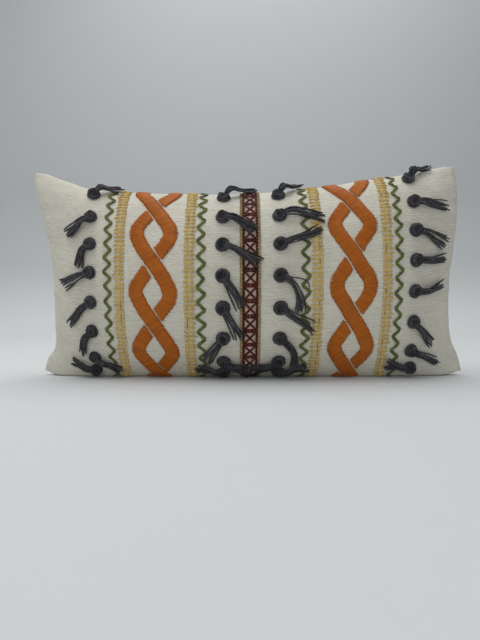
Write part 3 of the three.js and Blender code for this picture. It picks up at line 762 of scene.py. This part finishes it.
@dataclass
class Strand:
    """A short length of thread, modelled once and then laid along every stitch.

    It runs from x = 0 to 1, is one unit wide and high, and rests on z = 0.
    """

    sides: int = 6
    rings: int = 6
    taper: float = 0.5  # how much its ends narrow
    flatness: float = 1.0  # height against width of a two-ply section
    twist: float = 0.0  # whole turns along its length
    points: np.ndarray | None = None
    faces: list[tuple[int, ...]] | None = None
    place: np.ndarray | None = None

    def model(self) -> "Strand":
        """Models the strand from a disc, extruded ring by ring, and reads it back."""
        deselect()
        bpy.ops.mesh.primitive_circle_add(
            vertices=self.sides, radius=0.5, fill_type="NGON", rotation=(0, math.pi / 2, 0)
        )
        strand = bpy.context.object
        bpy.ops.object.transform_apply(location=False, rotation=True, scale=False)
        bpy.ops.object.mode_set(mode="EDIT")
        bpy.ops.mesh.select_all(action="SELECT")
        bpy.ops.transform.resize(value=(1, 1, self.flatness))
        first = 1 - self.taper
        bpy.ops.transform.resize(value=(1, first, first))
        last = first
        for ring in range(1, self.rings + 1):
            share = ring / self.rings
            full = 1 - self.taper * abs(2 * share - 1) ** 6
            bpy.ops.mesh.extrude_region_move(
                TRANSFORM_OT_translate={"value": (1 / self.rings, 0, 0)}
            )
            bpy.ops.transform.resize(value=(1, full / last, full / last),
                                     center_override=(share, 0, 0))
            if self.twist:
                bpy.ops.transform.rotate(
                    value=2 * math.pi * self.twist / self.rings,
                    orient_axis="X",
                    center_override=(share, 0, 0),
                )
            last = full
        bpy.ops.mesh.select_all(action="SELECT")
        bpy.ops.mesh.normals_make_consistent(inside=False)
        bpy.ops.object.mode_set(mode="OBJECT")
        mesh = strand.data
        co = np.array([v.co for v in mesh.vertices], float)
        self.faces = [tuple(p.vertices) for p in mesh.polygons]
        ring_of = np.rint(co[:, 0] * self.rings).astype(int)
        turned = np.arctan2(co[:, 2], co[:, 1]) - 2 * math.pi * self.twist * co[:, 0]
        round_share = (turned / (2 * math.pi)) % 1.0
        self.place = np.stack([ring_of / self.rings, round_share], -1)
        self.points = co
        bpy.data.objects.remove(strand)
        bpy.data.meshes.remove(mesh)
        return self


def distances(path: np.ndarray) -> np.ndarray:
    """Measures how far along a path each of its points is."""
    return np.concatenate([[0], np.cumsum(np.linalg.norm(np.diff(path, axis=0), axis=1))])


def points_along(path: np.ndarray, run: np.ndarray, at: np.ndarray) -> np.ndarray:
    """Finds the places at given distances along a path.

    Args:
        path: The path's points.
        run: How far along it each of them is.
        at: The wanted distances.

    Returns:
        The places, one a distance.
    """
    return np.stack([np.interp(at, run, line) for line in path.T], -1)


class ThreadWork:
    """Gathers many strands into one mesh."""

    def __init__(self, name: str, cloth: ClothMap) -> None:
        """Starts an empty piece of thread work over a cloth."""
        self.name, self.cloth = name, cloth
        self.points: list[np.ndarray] = []
        self.faces: list[tuple[int, ...]] = []
        self.uv: list[np.ndarray] = []
        self.tone: list[np.ndarray] = []
        self.finish: list[int] = []
        self.count = 0

    def lay(
        self,
        strand: Strand,
        path: np.ndarray,
        width: float,
        height: float,
        tone: float = 0.5,
        finish: int = 0,
        sunk: float = 0.25,
    ) -> None:
        """Lays one strand along a path of flat-cloth points.

        Args:
            strand: The modelled strand.
            path: Right, up and height of points along its middle line.
            width: The strand's width.
            height: The strand's height.
            tone: Its shade, 0 dark to 1 light.
            finish: Which of the piece's materials it has.
            sunk: The share of its height that sits below the path.
        """
        run = distances(path)
        length = run[-1]
        at = strand.points[:, 0] * length
        middle = points_along(path, run, at)
        reach = max(length * 0.02, 1e-5)
        ahead = points_along(path, run, np.minimum(at + reach, length))
        along = unit(ahead - points_along(path, run, np.maximum(at - reach, 0)))
        aside = np.cross([0.0, 0.0, 1.0], along)
        size = np.linalg.norm(aside, axis=1, keepdims=True)
        aside = np.where(size > 0.05, aside / np.maximum(size, 1e-9), [1.0, 0.0, 0.0])
        up = np.cross(along, aside)
        made = (middle + aside * strand.points[:, 1:2] * width
                + up * (strand.points[:, 2:3] + 0.5 - sunk) * height)
        self.points.append(made)
        self.faces.extend(tuple(n + self.count for n in face) for face in strand.faces)
        self.finish.extend([finish] * len(strand.faces))
        self.uv.append(strand.place * [length, 1.0])
        self.tone.append(np.full(len(made), tone))
        self.count += len(made)

    def piece(self, finishes: list[Any]) -> Any:
        """Makes the gathered strands into one object on the cloth.

        Args:
            finishes: The materials, in the order of the strands' finish numbers.

        Returns:
            The new object.
        """
        made = new_piece(self.name, self.cloth.place(np.concatenate(self.points)), self.faces)
        mesh = made.data
        write_map(mesh, "thread", np.concatenate(self.uv)[corner_points(mesh)])
        shade = mesh.attributes.new("tone", "FLOAT", "POINT")
        shade.data.foreach_set("value", np.concatenate(self.tone).astype(np.float32))
        for finish in finishes:
            mesh.materials.append(finish)
        mesh.polygons.foreach_set("material_index", self.finish)
        mesh.shade_smooth()
        mesh.update()
        return made


def arc(points: list[tuple[float, float]], steps: int) -> np.ndarray:
    """Draws a smooth curve through points.

    Args:
        points: The points, as right and up.
        steps: How many points each stretch is given.

    Returns:
        Points along the curve.
    """
    p = np.array([points[0], *points, points[-1]], float)
    p[0] = 2 * p[1] - p[2]
    p[-1] = 2 * p[-2] - p[-3]
    t = np.linspace(0, 1, steps, endpoint=False)[:, None]
    made = []
    for a, b, c, d in zip(p[:-3], p[1:-2], p[2:-1], p[3:]):
        made.append(0.5 * (2 * b + (c - a) * t + (2 * a - 5 * b + 4 * c - d) * t**2
                           + (3 * b - a - 3 * c + d) * t**3))
    return np.concatenate([*made, p[-2:-1]])


def stations(curve: np.ndarray, pitch: float) -> tuple[np.ndarray, np.ndarray]:
    """Spaces places evenly along a curve, in millimetres.

    Args:
        curve: Points along the curve.
        pitch: The wanted spacing.

    Returns:
        The places, and the direction of the curve at each.
    """
    run = distances(curve)
    at = np.linspace(0, run[-1], max(int(run[-1] / pitch), 2))
    near = 1.2
    way = points_along(curve, run, at + near) - points_along(curve, run, at - near)
    return points_along(curve, run, at), unit(way)


def cross(a: np.ndarray, b: np.ndarray) -> float:
    """Finds the cross product of two flat directions."""
    return a[0] * b[1] - a[1] * b[0]


@dataclass
class Embroidery:
    """The upright bands stitched on the front. Its measures are in millimetres."""

    cloth: ClothMap
    finishes: dict[str, Any]
    top: float = 174.0  # highest stitch, from the middle of the cloth
    bottom: float = -166.0
    lift: float = 0.35  # the stitches' middle lines over the cloth
    shift: float = 7.5  # the bands are sewn a little right of the middle
    middle_shift: float = 3.2
    strap_room: float = 12.4  # kept clear beside a strap's middle line
    # Each zigzag and its ladder: their places from the middle, and their random seeds.
    pairs: tuple[tuple[Any, ...], ...] = (
        ("left_inner", -72.5, 6503, -89.5, 16401), ("left_outer", -208.0, 20053, -189.0, 36302),
        ("right_inner", 72.5, 8006, 89.5, 19405), ("right_outer", 208.0, 21557, 189.0, 39305))
    stitch: Strand = field(default_factory=lambda: Strand(6, 6, 0.45).model())
    line: Strand = field(default_factory=lambda: Strand(6, 5, 0.5, 0.8, 0.5).model())

    def build(self) -> None:
        """Stitches every band and puts each in the frame."""
        for side, sign in (("left", -1), ("right", 1)):
            self.chain(side, sign)
            for name, zigzag, zigzag_seed, ladder, ladder_seed in self.pairs:
                if name.startswith(side):
                    self.zigzag(f"{name}_zigzag", self.shift + zigzag, zigzag_seed)
                    self.ladder(f"{name}_ladder", self.shift + ladder,
                                math.copysign(1, zigzag - ladder), ladder_seed)
            self.braid(side, self.middle_shift + sign * 12.5)
        self.lattice()

    def sew(self, work: ThreadWork, spots: list[tuple[float, float]], arch: float, width: float,
            height: float, tone: float, finish: int = 0) -> None:
        """Sews one stitch.

        Args:
            work: The band it belongs to.
            spots: The places it passes through on the cloth.
            arch: How far its middle rises over its ends.
            width: The thread's width.
            height: The thread's height.
            tone: Its shade, 0 dark to 1 light.
            finish: Which of the band's threads it is.
        """
        path = np.array([(x, y, self.lift) for x, y in spots], float)
        path[:, 2] += arch * (1 - np.linspace(-1, 1, len(path)) ** 2)
        work.lay(self.line, path * MM, width * MM, height * MM, tone, finish)

    def done(self, work: ThreadWork, finishes: list[str], node: str) -> None:
        """Makes a band's piece and puts it in the frame."""
        piece = work.piece([self.finishes[name] for name in finishes])
        settle(piece, "cushion", [node])

    def chain(self, side: str, sign: int) -> None:
        """Stitches a twisted chain: S-shaped straps of satin stitch, each passing over the next.

        Args:
            side: Left or right.
            sign: -1 or 1.
        """
        rng = np.random.default_rng(40 + sign)
        work = ThreadWork(f"{side}_chain_satin", self.cloth)
        centre, period = self.shift + sign * 140, 88
        first = 32 if sign < 0 else 35
        shape = [(-3.0, 84.0), (-8.4, 76.0), (-15.8, 65.0), (-23.4, 54.5), (-25.0, 45.5),
                 (-21.6, 35.0), (-11.0, 17.5), (0.0, 0.0), (11.0, -17.5), (21.6, -35.0),
                 (25.0, -45.5), (23.4, -54.5), (16.4, -65.0), (9.8, -74.0), (4.4, -82.0)]
        share = np.linspace(-1, 1, 7)
        for k in range(-3, 4):
            wander = rng.uniform(-0.9, 0.9, (len(shape), 2))
            middle = np.array([centre, first + k * period], float)
            spots = [tuple(np.array([x, y * 0.985]) + jog + middle)
                     for (x, y), jog in zip(shape, wander)]
            slant = 0.0
            for place, way in zip(*stations(arc(spots, 10), 1.45)):
                slant = 0.8 * slant + rng.normal(0, 0.04)
                across = np.array([-way[1], way[0]]) * math.cos(slant) + way * math.sin(slant)
                half = 10.4 + 0.25 * rng.normal()
                low, high = self.clear_run(place, across, half, middle, period)
                row = place + across * np.linspace(low, high, 7)[:, None]
                if (high - low < 4 or row[:, 1].max() > self.top
                        or row[:, 1].min() < self.bottom):
                    continue
                path = np.column_stack([row, self.lift + 0.7 * (1 - share**4)]) * MM
                work.lay(self.stitch, path, 2.15 * MM, (1.35 + 0.2 * rng.random()) * MM,
                         rng.uniform(0.2, 0.8))
        self.done(work, ["rust"], f"{side}_chain")

    def clear_run(self, place: np.ndarray, across: np.ndarray, half: float,
                  middle: np.ndarray, period: float) -> tuple[float, float]:
        """Cuts a stitch back from the diagonals of the next straps, which pass over its strap.

        Args:
            place: The stitch's middle.
            across: The way it runs.
            half: Half its full length.
            middle: The middle of its strap.
            period: From one strap's middle to the next.

        Returns:
            How far the stitch runs to each side of its middle.
        """
        run = np.array([0.532, -0.847])  # the way the diagonal of every strap runs
        low, high = -half, half
        for over in (middle + [0, period], middle - [0, period]):
            side_of = math.copysign(1, cross(middle - over, run))
            slope = side_of * cross(across, run)
            edge = (self.strap_room - side_of * cross(place - over, run)) / (slope + 1e-9)
            if slope > 0:
                low = max(low, edge)
            else:
                high = min(high, edge)
        return low, high

    def zigzag(self, node: str, centre: float, seed: int) -> None:
        """Stitches an olive zigzag in backstitch.

        Args:
            node: The CAD node it stands for.
            centre: Its middle line on the flat cloth.
            seed: The random seed of its stitches.
        """
        rng = np.random.default_rng(seed)
        work = ThreadWork(f"{node}_stitches", self.cloth)
        pitch, reach = 22, 5.6
        level, way = self.top - 2, 1
        spot = np.array([centre - reach, level])
        while level > self.bottom + pitch / 2:
            level -= pitch / 2 + rng.normal(0, 0.4)
            end = np.array([centre + way * (reach + rng.normal(0, 0.5)), level])
            for a, b in ((0.0, 0.54), (0.5, 1.04)):
                start, stop = spot + (end - spot) * a, spot + (end - spot) * b
                middle = (start + stop) / 2 + [rng.normal(0, 0.35), 0]
                self.sew(work, [start, middle, stop], 0.35, 5.4 + 0.5 * rng.random(), 2.4,
                         rng.uniform(0.1, 0.9))
            spot, way = end, -way
        self.done(work, ["olive"], node)

    def ladder(self, node: str, centre: float, outward: float, seed: int) -> None:
        """Stitches a pale gold ladder: close level stitches, with loops on one side.

        Args:
            node: The CAD node it stands for.
            centre: Its middle line on the flat cloth.
            outward: The side its loops reach to, -1 or 1.
            seed: The random seed of its stitches.
        """
        rng = np.random.default_rng(seed)
        work = ThreadWork(f"{node}_stitches", self.cloth)
        level = self.top - 1
        while level > self.bottom + 1:
            half, tilt = 6.2 + 0.5 * rng.normal(), rng.normal(0, 0.45)
            spots = [(centre - half, level - tilt), (centre, level + rng.normal(0, 0.2)),
                     (centre + half, level + tilt)]
            self.sew(work, spots, 0.2, 1.9, 0.8, rng.uniform(0.5, 1.0), 2)
            level -= 1.5 * (1 + 0.1 * rng.normal())
        level = self.top - 2
        spine = centre - outward * 2.4
        while level > self.bottom + 5:
            drop = 6.3 + 0.6 * rng.normal()
            swell = math.sin(2 * math.pi * (self.top - level) / 22)
            far = 8.6 + 1.6 * max(swell, -0.3) + 0.5 * rng.normal()
            droop = rng.uniform(-0.6, 1.6)
            tick = [(spine, level), (centre + outward * far * 0.6, level + 0.5),
                    (centre + outward * far, level - droop)]
            self.sew(work, tick, 1.0, 2.7 + 0.3 * rng.random(), 1.9, rng.uniform(0.2, 1.0))
            near = [(spine, level - 1.0), (spine - outward * 2.2, level - 0.4),
                    (spine - outward * (4.8 + 0.6 * rng.normal()), level + 0.8)]
            self.sew(work, near, 0.8, 2.3, 1.6, rng.uniform(0.2, 1.0))
            back = [(spine, level + 0.4), (spine + outward * 0.7, level - drop / 2),
                    (spine, level - drop - 0.4)]
            self.sew(work, back, 0.9, 1.6, 1.3, rng.uniform(0.2, 1.0),
                     1 if rng.random() < 0.2 else 0)
            level -= drop
        self.done(work, ["gold", "ochre", "cream"], node)

    def braid(self, side: str, centre: float) -> None:
        """Stitches an old-gold chain of small loops beside the lattice."""
        rng = np.random.default_rng(90 + (1 if centre > 0 else 0))
        work = ThreadWork(f"{side}_gold_braid_loops", self.cloth)
        pitch = 5
        for level in np.arange(self.top, self.bottom + pitch, -pitch):
            for way in (-1, 1):
                wide = (1.55 + 0.15 * rng.normal()) * way
                spots = [(centre, level + 0.4), (centre + wide, level - 1.6),
                         (centre + wide * 0.9, level - 3.4), (centre, level - 5.4)]
                self.sew(work, arc(spots, 4), 0.5, 1.5, 1.3, rng.uniform(0.1, 1.0))
        self.done(work, ["braid"], f"{side}_gold_braid")

    def lattice(self) -> None:
        """Stitches the maroon band of crosses in blocks, over a pink cream ground."""
        rng = np.random.default_rng(77)
        work = ThreadWork("lattice_band_stitches", self.cloth)
        half, pitch, mid = 9.2, 21.5, self.middle_shift
        for level in np.arange(self.top, self.bottom + 1, -1.45):
            tilt = rng.normal(0, 0.25)
            spots = [(mid - half + 1, level - tilt), (mid, level), (mid + half - 1, level + tilt)]
            self.sew(work, spots, 0.1, 1.8, 0.9, rng.uniform(0.1, 1.0), 1)
        level = self.top - 2
        while level > self.bottom + 6:
            foot = max(level - pitch, self.bottom)
            for y in (level, level - 3):
                wobble = rng.normal(0, 0.3)
                for a, b in ((-half, 0.4), (-0.4, half)):
                    spots = [(mid + a, y), (mid + (a + b) / 2, y + wobble), (mid + b, y)]
                    self.sew(work, spots, 0.9, 3.9, 2.1, rng.uniform(0.0, 1.0))
            high, low = level - 4.4, foot + 1.0
            heart = (high + low) / 2
            for way in (-1, 1):
                reach = way * (half - 1.6)
                spots = [(mid - reach, high), (mid + rng.normal(0, 0.3), heart),
                         (mid + reach, low)]
                self.sew(work, spots, 1.5, 3.7, 2.1, rng.uniform(0.0, 1.0))
            spots = [(mid - 2, heart), (mid, heart), (mid + 2, heart)]
            self.sew(work, spots, 2.4, 2.2, 1.6, 0.3)
            level = foot
        for edge in (-half, half):
            level = self.top
            while level > self.bottom + 1:
                foot = max(level - 5.4, self.bottom)
                spots = [(mid + edge, level),
                         (mid + edge + rng.normal(0, 0.25), (level + foot) / 2),
                         (mid + edge, foot)]
                self.sew(work, spots, 0.7, 3.9, 2.0, rng.uniform(0.0, 0.8))
                level = foot + 0.3 if foot > self.bottom else foot
        self.done(work, ["maroon", "pink"], "lattice_band")


# ---- Tassels -----------------------------------------------------------------------


@dataclass(frozen=True)
class Lay:
    """How one tassel's tail lies: where it points, how it curves and how wide it fans."""

    angle: float  # degrees round the cloth, 0 to the right and 90 up
    bend: float = 0.0  # degrees the heading turns from root to tip
    spread: float = 22.0  # degrees between its outermost yarns
    length: float = 46 * MM
    hump: float = 3.0 * MM
    stray: bool = False  # one yarn arches away in a loop
    rest: float = 2.7 * MM  # the lowest yarns' middle lines over the cloth


@dataclass
class Tassels:
    """Thirty-two yarn tassels, each knotted through the front of the cover."""

    cloth: ClothMap
    finish: Any
    knot_radius: float = 11.2 * MM
    yarn: float = 3.0 * MM
    yarns: int = 9  # in one tail
    top_row: float = 150.0  # the highest knots, from the middle of the flat cloth
    row_pitch: float = 44.571
    lowest_row: float = -140.0
    least_pitch: float = 23.0
    columns: dict[str, tuple[float, float]] = field(default_factory=lambda: {
        "left_outer": (-229.0, 0.0), "left_inner": (-35.0, -4.0),
        "right_inner": (45.0, -5.0), "right_outer": (242.0, 6.0)})  # place across, and rise
    lays: dict[str, tuple[Lay, ...]] = field(default_factory=lambda: {
        "left_outer": (
            Lay(25, -24, 50, 38 * MM, 5 * MM, True, 4.4 * MM), Lay(225, 10, 34, 44 * MM),
            Lay(240, 30, 16, 36 * MM), Lay(205, 5, 14, 50 * MM), Lay(224, 8, 24, 48 * MM),
            Lay(240, 44, 16, 38 * MM), Lay(335, -10, 26, 40 * MM), Lay(165, 0, 50, 36 * MM)),
        "left_inner": (
            Lay(20, -50, 16, 44 * MM, 7 * MM, rest=4.8 * MM), Lay(331, -16, 14, rest=4.8 * MM),
            Lay(330, -10, 18, 50 * MM, rest=4.8 * MM), Lay(303, -8, 24, 42 * MM, rest=4.4 * MM),
            Lay(300, -12, 16, 42 * MM, rest=4.4 * MM), Lay(237, 20, 16, 40 * MM),
            Lay(335, -12, 50, 36 * MM, rest=4.4 * MM), Lay(165, 10, 50, 34 * MM)),
        "right_inner": (
            Lay(40, -20, 20, 38 * MM, 6 * MM, rest=4.8 * MM), Lay(355, -40, 16, 54 * MM, 6 * MM),
            Lay(15, 20, 16, 52 * MM, 6 * MM), Lay(305, -70, 14, 54 * MM, 6 * MM, True),
            Lay(325, -12, 16, 50 * MM), Lay(302, -60, 16, 48 * MM, 5 * MM),
            Lay(205, -20, 50, 36 * MM), Lay(15, -20, 50, 36 * MM)),
        "right_outer": (
            Lay(31, -30, 24, 36 * MM, 6 * MM, True, 4.2 * MM), Lay(351, -12, 14, 48 * MM),
            Lay(338, -14, 34, 50 * MM), Lay(0, 0, 28, 44 * MM), Lay(3, 30, 18, 44 * MM),
            Lay(313, 6, 16, 44 * MM), Lay(330, 0, 24, 44 * MM), Lay(165, 0, 50, 34 * MM)),
    })
    strand: Strand = field(default_factory=lambda: Strand(8, 36, 0.3, 0.72, 7).model())
    turn: Strand = field(default_factory=lambda: Strand(8, 24, 0.25, 0.8, 5).model())

    def build(self) -> None:
        """Makes every tassel and puts each on its own body."""
        for column, (u, rise) in self.columns.items():
            for row, lay in enumerate(self.lays[column]):
                name = f"tassel_{column}_{row + 1}"
                v = max(self.top_row + rise - self.row_pitch * row,
                        self.lowest_row + self.least_pitch * (7 - row))
                seed = sorted(self.columns).index(column) * 10 + row + 200
                piece = self.tassel(name + "_yarn", u * MM, v * MM, lay, seed)
                settle(piece, name, [name])

    def tassel(self, name: str, u: float, v: float, lay: Lay, seed: int) -> Any:
        """Makes one tassel.

        Args:
            name: The piece's name.
            u: The knot's place across the flat cloth.
            v: The knot's place up the flat cloth.
            lay: How its tail lies.
            seed: The random seed of its yarns.

        Returns:
            The tassel's object.
        """
        rng = np.random.default_rng(seed)
        work = ThreadWork(name, self.cloth)
        self.knot(work, u, v, math.radians(lay.angle), rng)
        self.tail(work, u, v, lay, rng)
        return work.piece([self.finish])

    def knot(self, work: ThreadWork, u: float, v: float, way: float, rng: Any) -> None:
        """Winds the knot: tilted turns of doubled yarn over a packed heart."""
        radius = self.knot_radius
        heart = [(u - 3.5 * MM, v, 2.2 * MM), (u, v, 3.2 * MM), (u + 3.5 * MM, v, 2.2 * MM)]
        work.lay(self.turn, np.array(heart), radius * 1.4, 6 * MM, 0.1)
        turns = [  # the share of the radius, the middle's height, the tilt and its heading
            (0.80, 2.2, 0.0, 0.0), (0.74, 3.9, 0.10, 0.6), (0.55, 5.4, 0.20, 2.2),
            (0.62, 4.9, 0.55, 0.3), (0.60, 4.7, 0.60, 2.5), (0.30, 6.3, 0.35, 1.4),
        ]
        for share, height, tilt, heading in turns:
            ring, tall = share * radius, height * MM
            heading += way + rng.normal(0, 0.35)
            angle = np.linspace(0, 2 * math.pi * 1.04, 33) + rng.uniform(0, 6)
            x, y = ring * np.cos(angle), ring * np.sin(angle)
            over = x * math.cos(heading) + y * math.sin(heading)
            lift = tall + over * math.tan(tilt)
            path = np.column_stack([
                u + x + rng.normal(0, 0.2) * MM, v + y + rng.normal(0, 0.2) * MM,
                np.clip(lift, 1.2 * MM, 8.0 * MM)])
            work.lay(self.turn, path, self.yarn * 1.25, self.yarn * 1.15,
                     rng.uniform(0.2, 0.9), sunk=0.5)

    def tail(self, work: ThreadWork, u: float, v: float, lay: Lay, rng: Any) -> None:
        """Lays the tail's yarns: gathered at the knot, fanned and drooping at their tips."""
        count, steps = self.yarns, 26
        share = np.linspace(0, 1, steps)
        for k in range(count):
            fan = (k / (count - 1) - 0.5) * 2
            layer = (0, 1, 2, 1)[k % 4]
            stray = lay.stray and k == count - 2
            length = lay.length * (1.04 + rng.uniform(-0.1, 0.1)) * (0.72 if stray else 1)
            start = math.radians(lay.angle - lay.bend * 0.35)
            heading = (start + math.radians(lay.bend) * share
                       + math.radians(lay.spread) * 0.32 * fan * share**1.2
                       + rng.normal(0, 0.05) + 0.10 * np.sin(share * 5 + rng.uniform(0, 6)))
            if stray:
                heading = heading + math.radians(75) * np.sin(share * math.pi) - 0.3
            stride = length / (steps - 1)
            dx = np.concatenate([[0], np.cumsum(np.cos(heading[:-1]) * stride)])
            dy = np.concatenate([[0], np.cumsum(np.sin(heading[:-1]) * stride)])
            root = self.knot_radius * 0.45
            aside = fan * 4.2 * MM
            x = u + root * math.cos(start) - aside * math.sin(start) + dx
            y = v + root * math.sin(start) + aside * math.cos(start) + dy
            rest = lay.rest + layer * 1.3 * MM + rng.uniform(0, 0.5) * MM
            lift = rest + (2.2 * MM + lay.hump * (1.4 if stray else 1)) * np.exp(
                -((share - 0.22) / 0.26) ** 2) * (1 - 0.25 * abs(fan))
            tip = rng.uniform(0, 2.0) * MM * share**3
            path = np.column_stack([x, y, lift + tip])
            thick = self.yarn * rng.uniform(0.85, 1.08) * (0.7 if stray else 1)
            work.lay(self.strand, path, thick, thick * 0.95, rng.uniform(0.0, 1.0), sunk=0.5)


# ---- Inside: insert, filling and zip -----------------------------------------------


@dataclass
class Inside:
    """The insert bag and its filling, and the finish of the zip's own parts."""

    plane: float
    columns: int = 66
    rows: int = 36

    def build(self) -> None:
        """Makes the insert and the filling, and dresses the zip."""
        insert = self.bag("insert_bag", BagForm(inset=7 * MM, corner_inset=20 * MM,
                                                base=8.6 * MM, base_half=26 * MM), 1.2, 31)
        self.dress(insert, INSERT_CLOTH.material())
        settle(insert, "cushion", ["insert_front", "insert_back"])
        filling = self.bag("fibre_filling", BagForm(inset=11 * MM, corner_inset=32 * MM,
                                                    base=11 * MM, base_half=26 * MM), 2.4, 32)
        self.dress(filling, FIBRE.material())
        settle(filling, "cushion", ["fibre_fill"])
        finishes = {"tape": ZIP_TAPE.material(), "coil": ZIP_COIL.material(),
                    "metal": ZIP_METAL.material()}
        for name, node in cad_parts.items():
            if name.startswith("zip_"):
                kind = next((k for k in ("tape", "coil") if k in name), "metal")
                node.data.materials.clear()
                node.data.materials.append(finishes[kind])

    def bag(self, name: str, form: BagForm, lump: float, seed: int) -> Any:
        """Makes a closed bag with soft lumps.

        Args:
            name: The piece's name.
            form: Its shape.
            lump: The height of its lumps in millimetres.
            seed: The random seed of the lumps.

        Returns:
            The bag's object.
        """
        half = form.half(self.columns, self.rows)
        front, back, faces = bag_faces(self.columns, self.rows)
        points = bag_points(half, self.plane)
        swell = smooth_noise(front.shape, 4.5, seed) * lump * MM
        swell[[0, -1]] = swell[:, [0, -1]] = 0
        points[front, 1] -= np.minimum(swell, 0)
        points[back, 1] += np.minimum(swell, 0) * (front != back)
        made = new_piece(name, points, faces.tolist())
        write_map(made.data, "cloth", points[corner_points(made.data)][:, [0, 2]])
        run_modifier(made, "SUBSURF", levels=1, render_levels=1)
        return made

    def dress(self, piece: Any, material: Any) -> None:
        """Smooths a piece and gives it its material."""
        piece.data.shade_smooth()
        piece.data.materials.append(material)


# ---- Studio ------------------------------------------------------------------------


@dataclass
class Studio:
    """A pale sweep of floor and wall, soft light from above, and the camera."""

    plane: float
    reach: float = 0.746  # from the seam plane to the camera
    eye: float = 0.1105  # the camera's height
    pitch: float = 2.0  # degrees it looks down
    aside: float = -0.011
    lens: float = 27.2
    wall: float = 1.4  # from the seam plane to the wall
    cove: float = 0.6  # the radius of the curve between floor and wall

    def build(self) -> None:
        """Builds the backdrop, the lights and the camera."""
        self.sweep()
        self.lights()
        camera = bpy.data.cameras.new("camera")
        camera.lens = self.lens
        camera.sensor_width = 36
        camera.clip_start = 0.01
        eye = bpy.data.objects.new("camera", camera)
        bpy.context.scene.collection.objects.link(eye)
        eye.location = (self.aside, self.plane - self.reach, self.eye)
        eye.rotation_euler = (math.radians(90 - self.pitch), 0, 0)
        bpy.context.scene.camera = eye

    def sweep(self) -> None:
        """Makes the floor and the wall as one curved sheet, with painted shade darkening the wall.
        """
        deselect()
        bpy.ops.mesh.primitive_plane_add(size=1)
        sheet = bpy.context.object
        sheet.name = "studio_sweep"
        bpy.ops.object.mode_set(mode="EDIT")
        bpy.ops.mesh.select_all(action="SELECT")
        bpy.ops.transform.resize(value=(60, 6, 1), center_override=(0, 0, 0))
        bpy.ops.transform.translate(value=(0, self.plane + self.wall - self.cove - 3, 0))
        bpy.ops.mesh.select_all(action="DESELECT")
        bpy.ops.object.mode_set(mode="OBJECT")
        bpy.context.tool_settings.mesh_select_mode = (False, True, False)
        for edge in sheet.data.edges:
            edge.select = all(sheet.data.vertices[n].co.y > self.plane for n in edge.vertices)
        bpy.ops.object.mode_set(mode="EDIT")
        last = (0.0, 0.0)
        for angle in np.linspace(0, math.pi / 2, 17)[1:]:
            spot = (self.cove * math.sin(angle), self.cove * (1 - math.cos(angle)))
            bpy.ops.mesh.extrude_region_move(
                TRANSFORM_OT_translate={"value": (0, spot[0] - last[0], spot[1] - last[1])})
            last = spot
        bpy.ops.mesh.extrude_region_move(TRANSFORM_OT_translate={"value": (0, 0, 5)})
        bpy.ops.object.mode_set(mode="OBJECT")
        sheet.data.shade_smooth()
        material, tree, shader = new_material("studio sweep with painted wall shade")
        place = add_node(tree, "TexCoord", "Object")
        painted = blend(tree, noise(tree, place, 0.7, 2.0), "#d9dcdd", "#dee1e2")
        # Painted shade: the sheet's colour darkens from the floor up the wall, to 0.77 above 0.3 m.
        height = add_node(tree, "SeparateXYZ", "Z", {"Vector": place})
        painted_wall_shade = ranged(tree, height, 0.0, 0.3, (1.0, 0.77), interpolation_type="SMOOTHSTEP")
        dress_shader(tree, shader, toned(tree, painted, painted_wall_shade), None,
                     {"Roughness": 0.9, "Specular IOR Level": 0.1})
        sheet.data.materials.append(material)

    def lights(self) -> None:
        """Hangs a broad soft light overhead and a weak fill in front."""
        scene = bpy.context.scene
        scene.view_settings.view_transform = "Standard"
        scene.view_settings.look = "None"
        world = bpy.data.worlds.new("studio air")
        world.use_nodes = True
        air = world.node_tree.nodes["Background"]
        air.inputs["Color"].default_value = linear("#e9eef1")
        air.inputs["Strength"].default_value = 0.29
        scene.world = world
        for name, size, watts, spot, target in (
            ("overhead", (3.0, 1.8), 40.0, (-0.25, 0.2, 2.1), (0, 0, 0)),
            ("front fill", (1.6, 1.6), 6.5, (-0.4, -2.2, 0.9), (0, 0, 0.15)),
        ):
            lamp = bpy.data.lights.new(name, "AREA")
            lamp.shape, lamp.energy = "RECTANGLE", watts
            lamp.size, lamp.size_y = size
            made = bpy.data.objects.new(name, lamp)
            scene.collection.objects.link(made)
            made.location = spot
            aim = Vector(target) - Vector(spot)
            made.rotation_euler = aim.to_track_quat("-Z", "Y").to_euler()


def main() -> None:
    """Builds the pillow round its frame, from the studio inwards."""
    logging.basicConfig(level=logging.INFO, format="%(message)s")
    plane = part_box("front_panel")[1].y + 0.15 * MM
    Studio(plane).build()
    cover = Cover(plane=plane)
    cloth = cover.build()
    cover.finish()
    threads = {
        "rust": RUST_THREAD, "cream": CREAM_THREAD, "gold": GOLD_THREAD, "ochre": OCHRE_THREAD,
        "olive": OLIVE_THREAD, "maroon": MAROON_THREAD, "pink": PINK_THREAD,
        "braid": BRAID_THREAD,
    }
    Embroidery(cloth=cloth, finishes={k: f.material() for k, f in threads.items()}).build()
    Tassels(cloth.calmed(12), CHARCOAL_YARN.material()).build()
    Inside(plane).build()


if __name__ == "__main__":
    main()
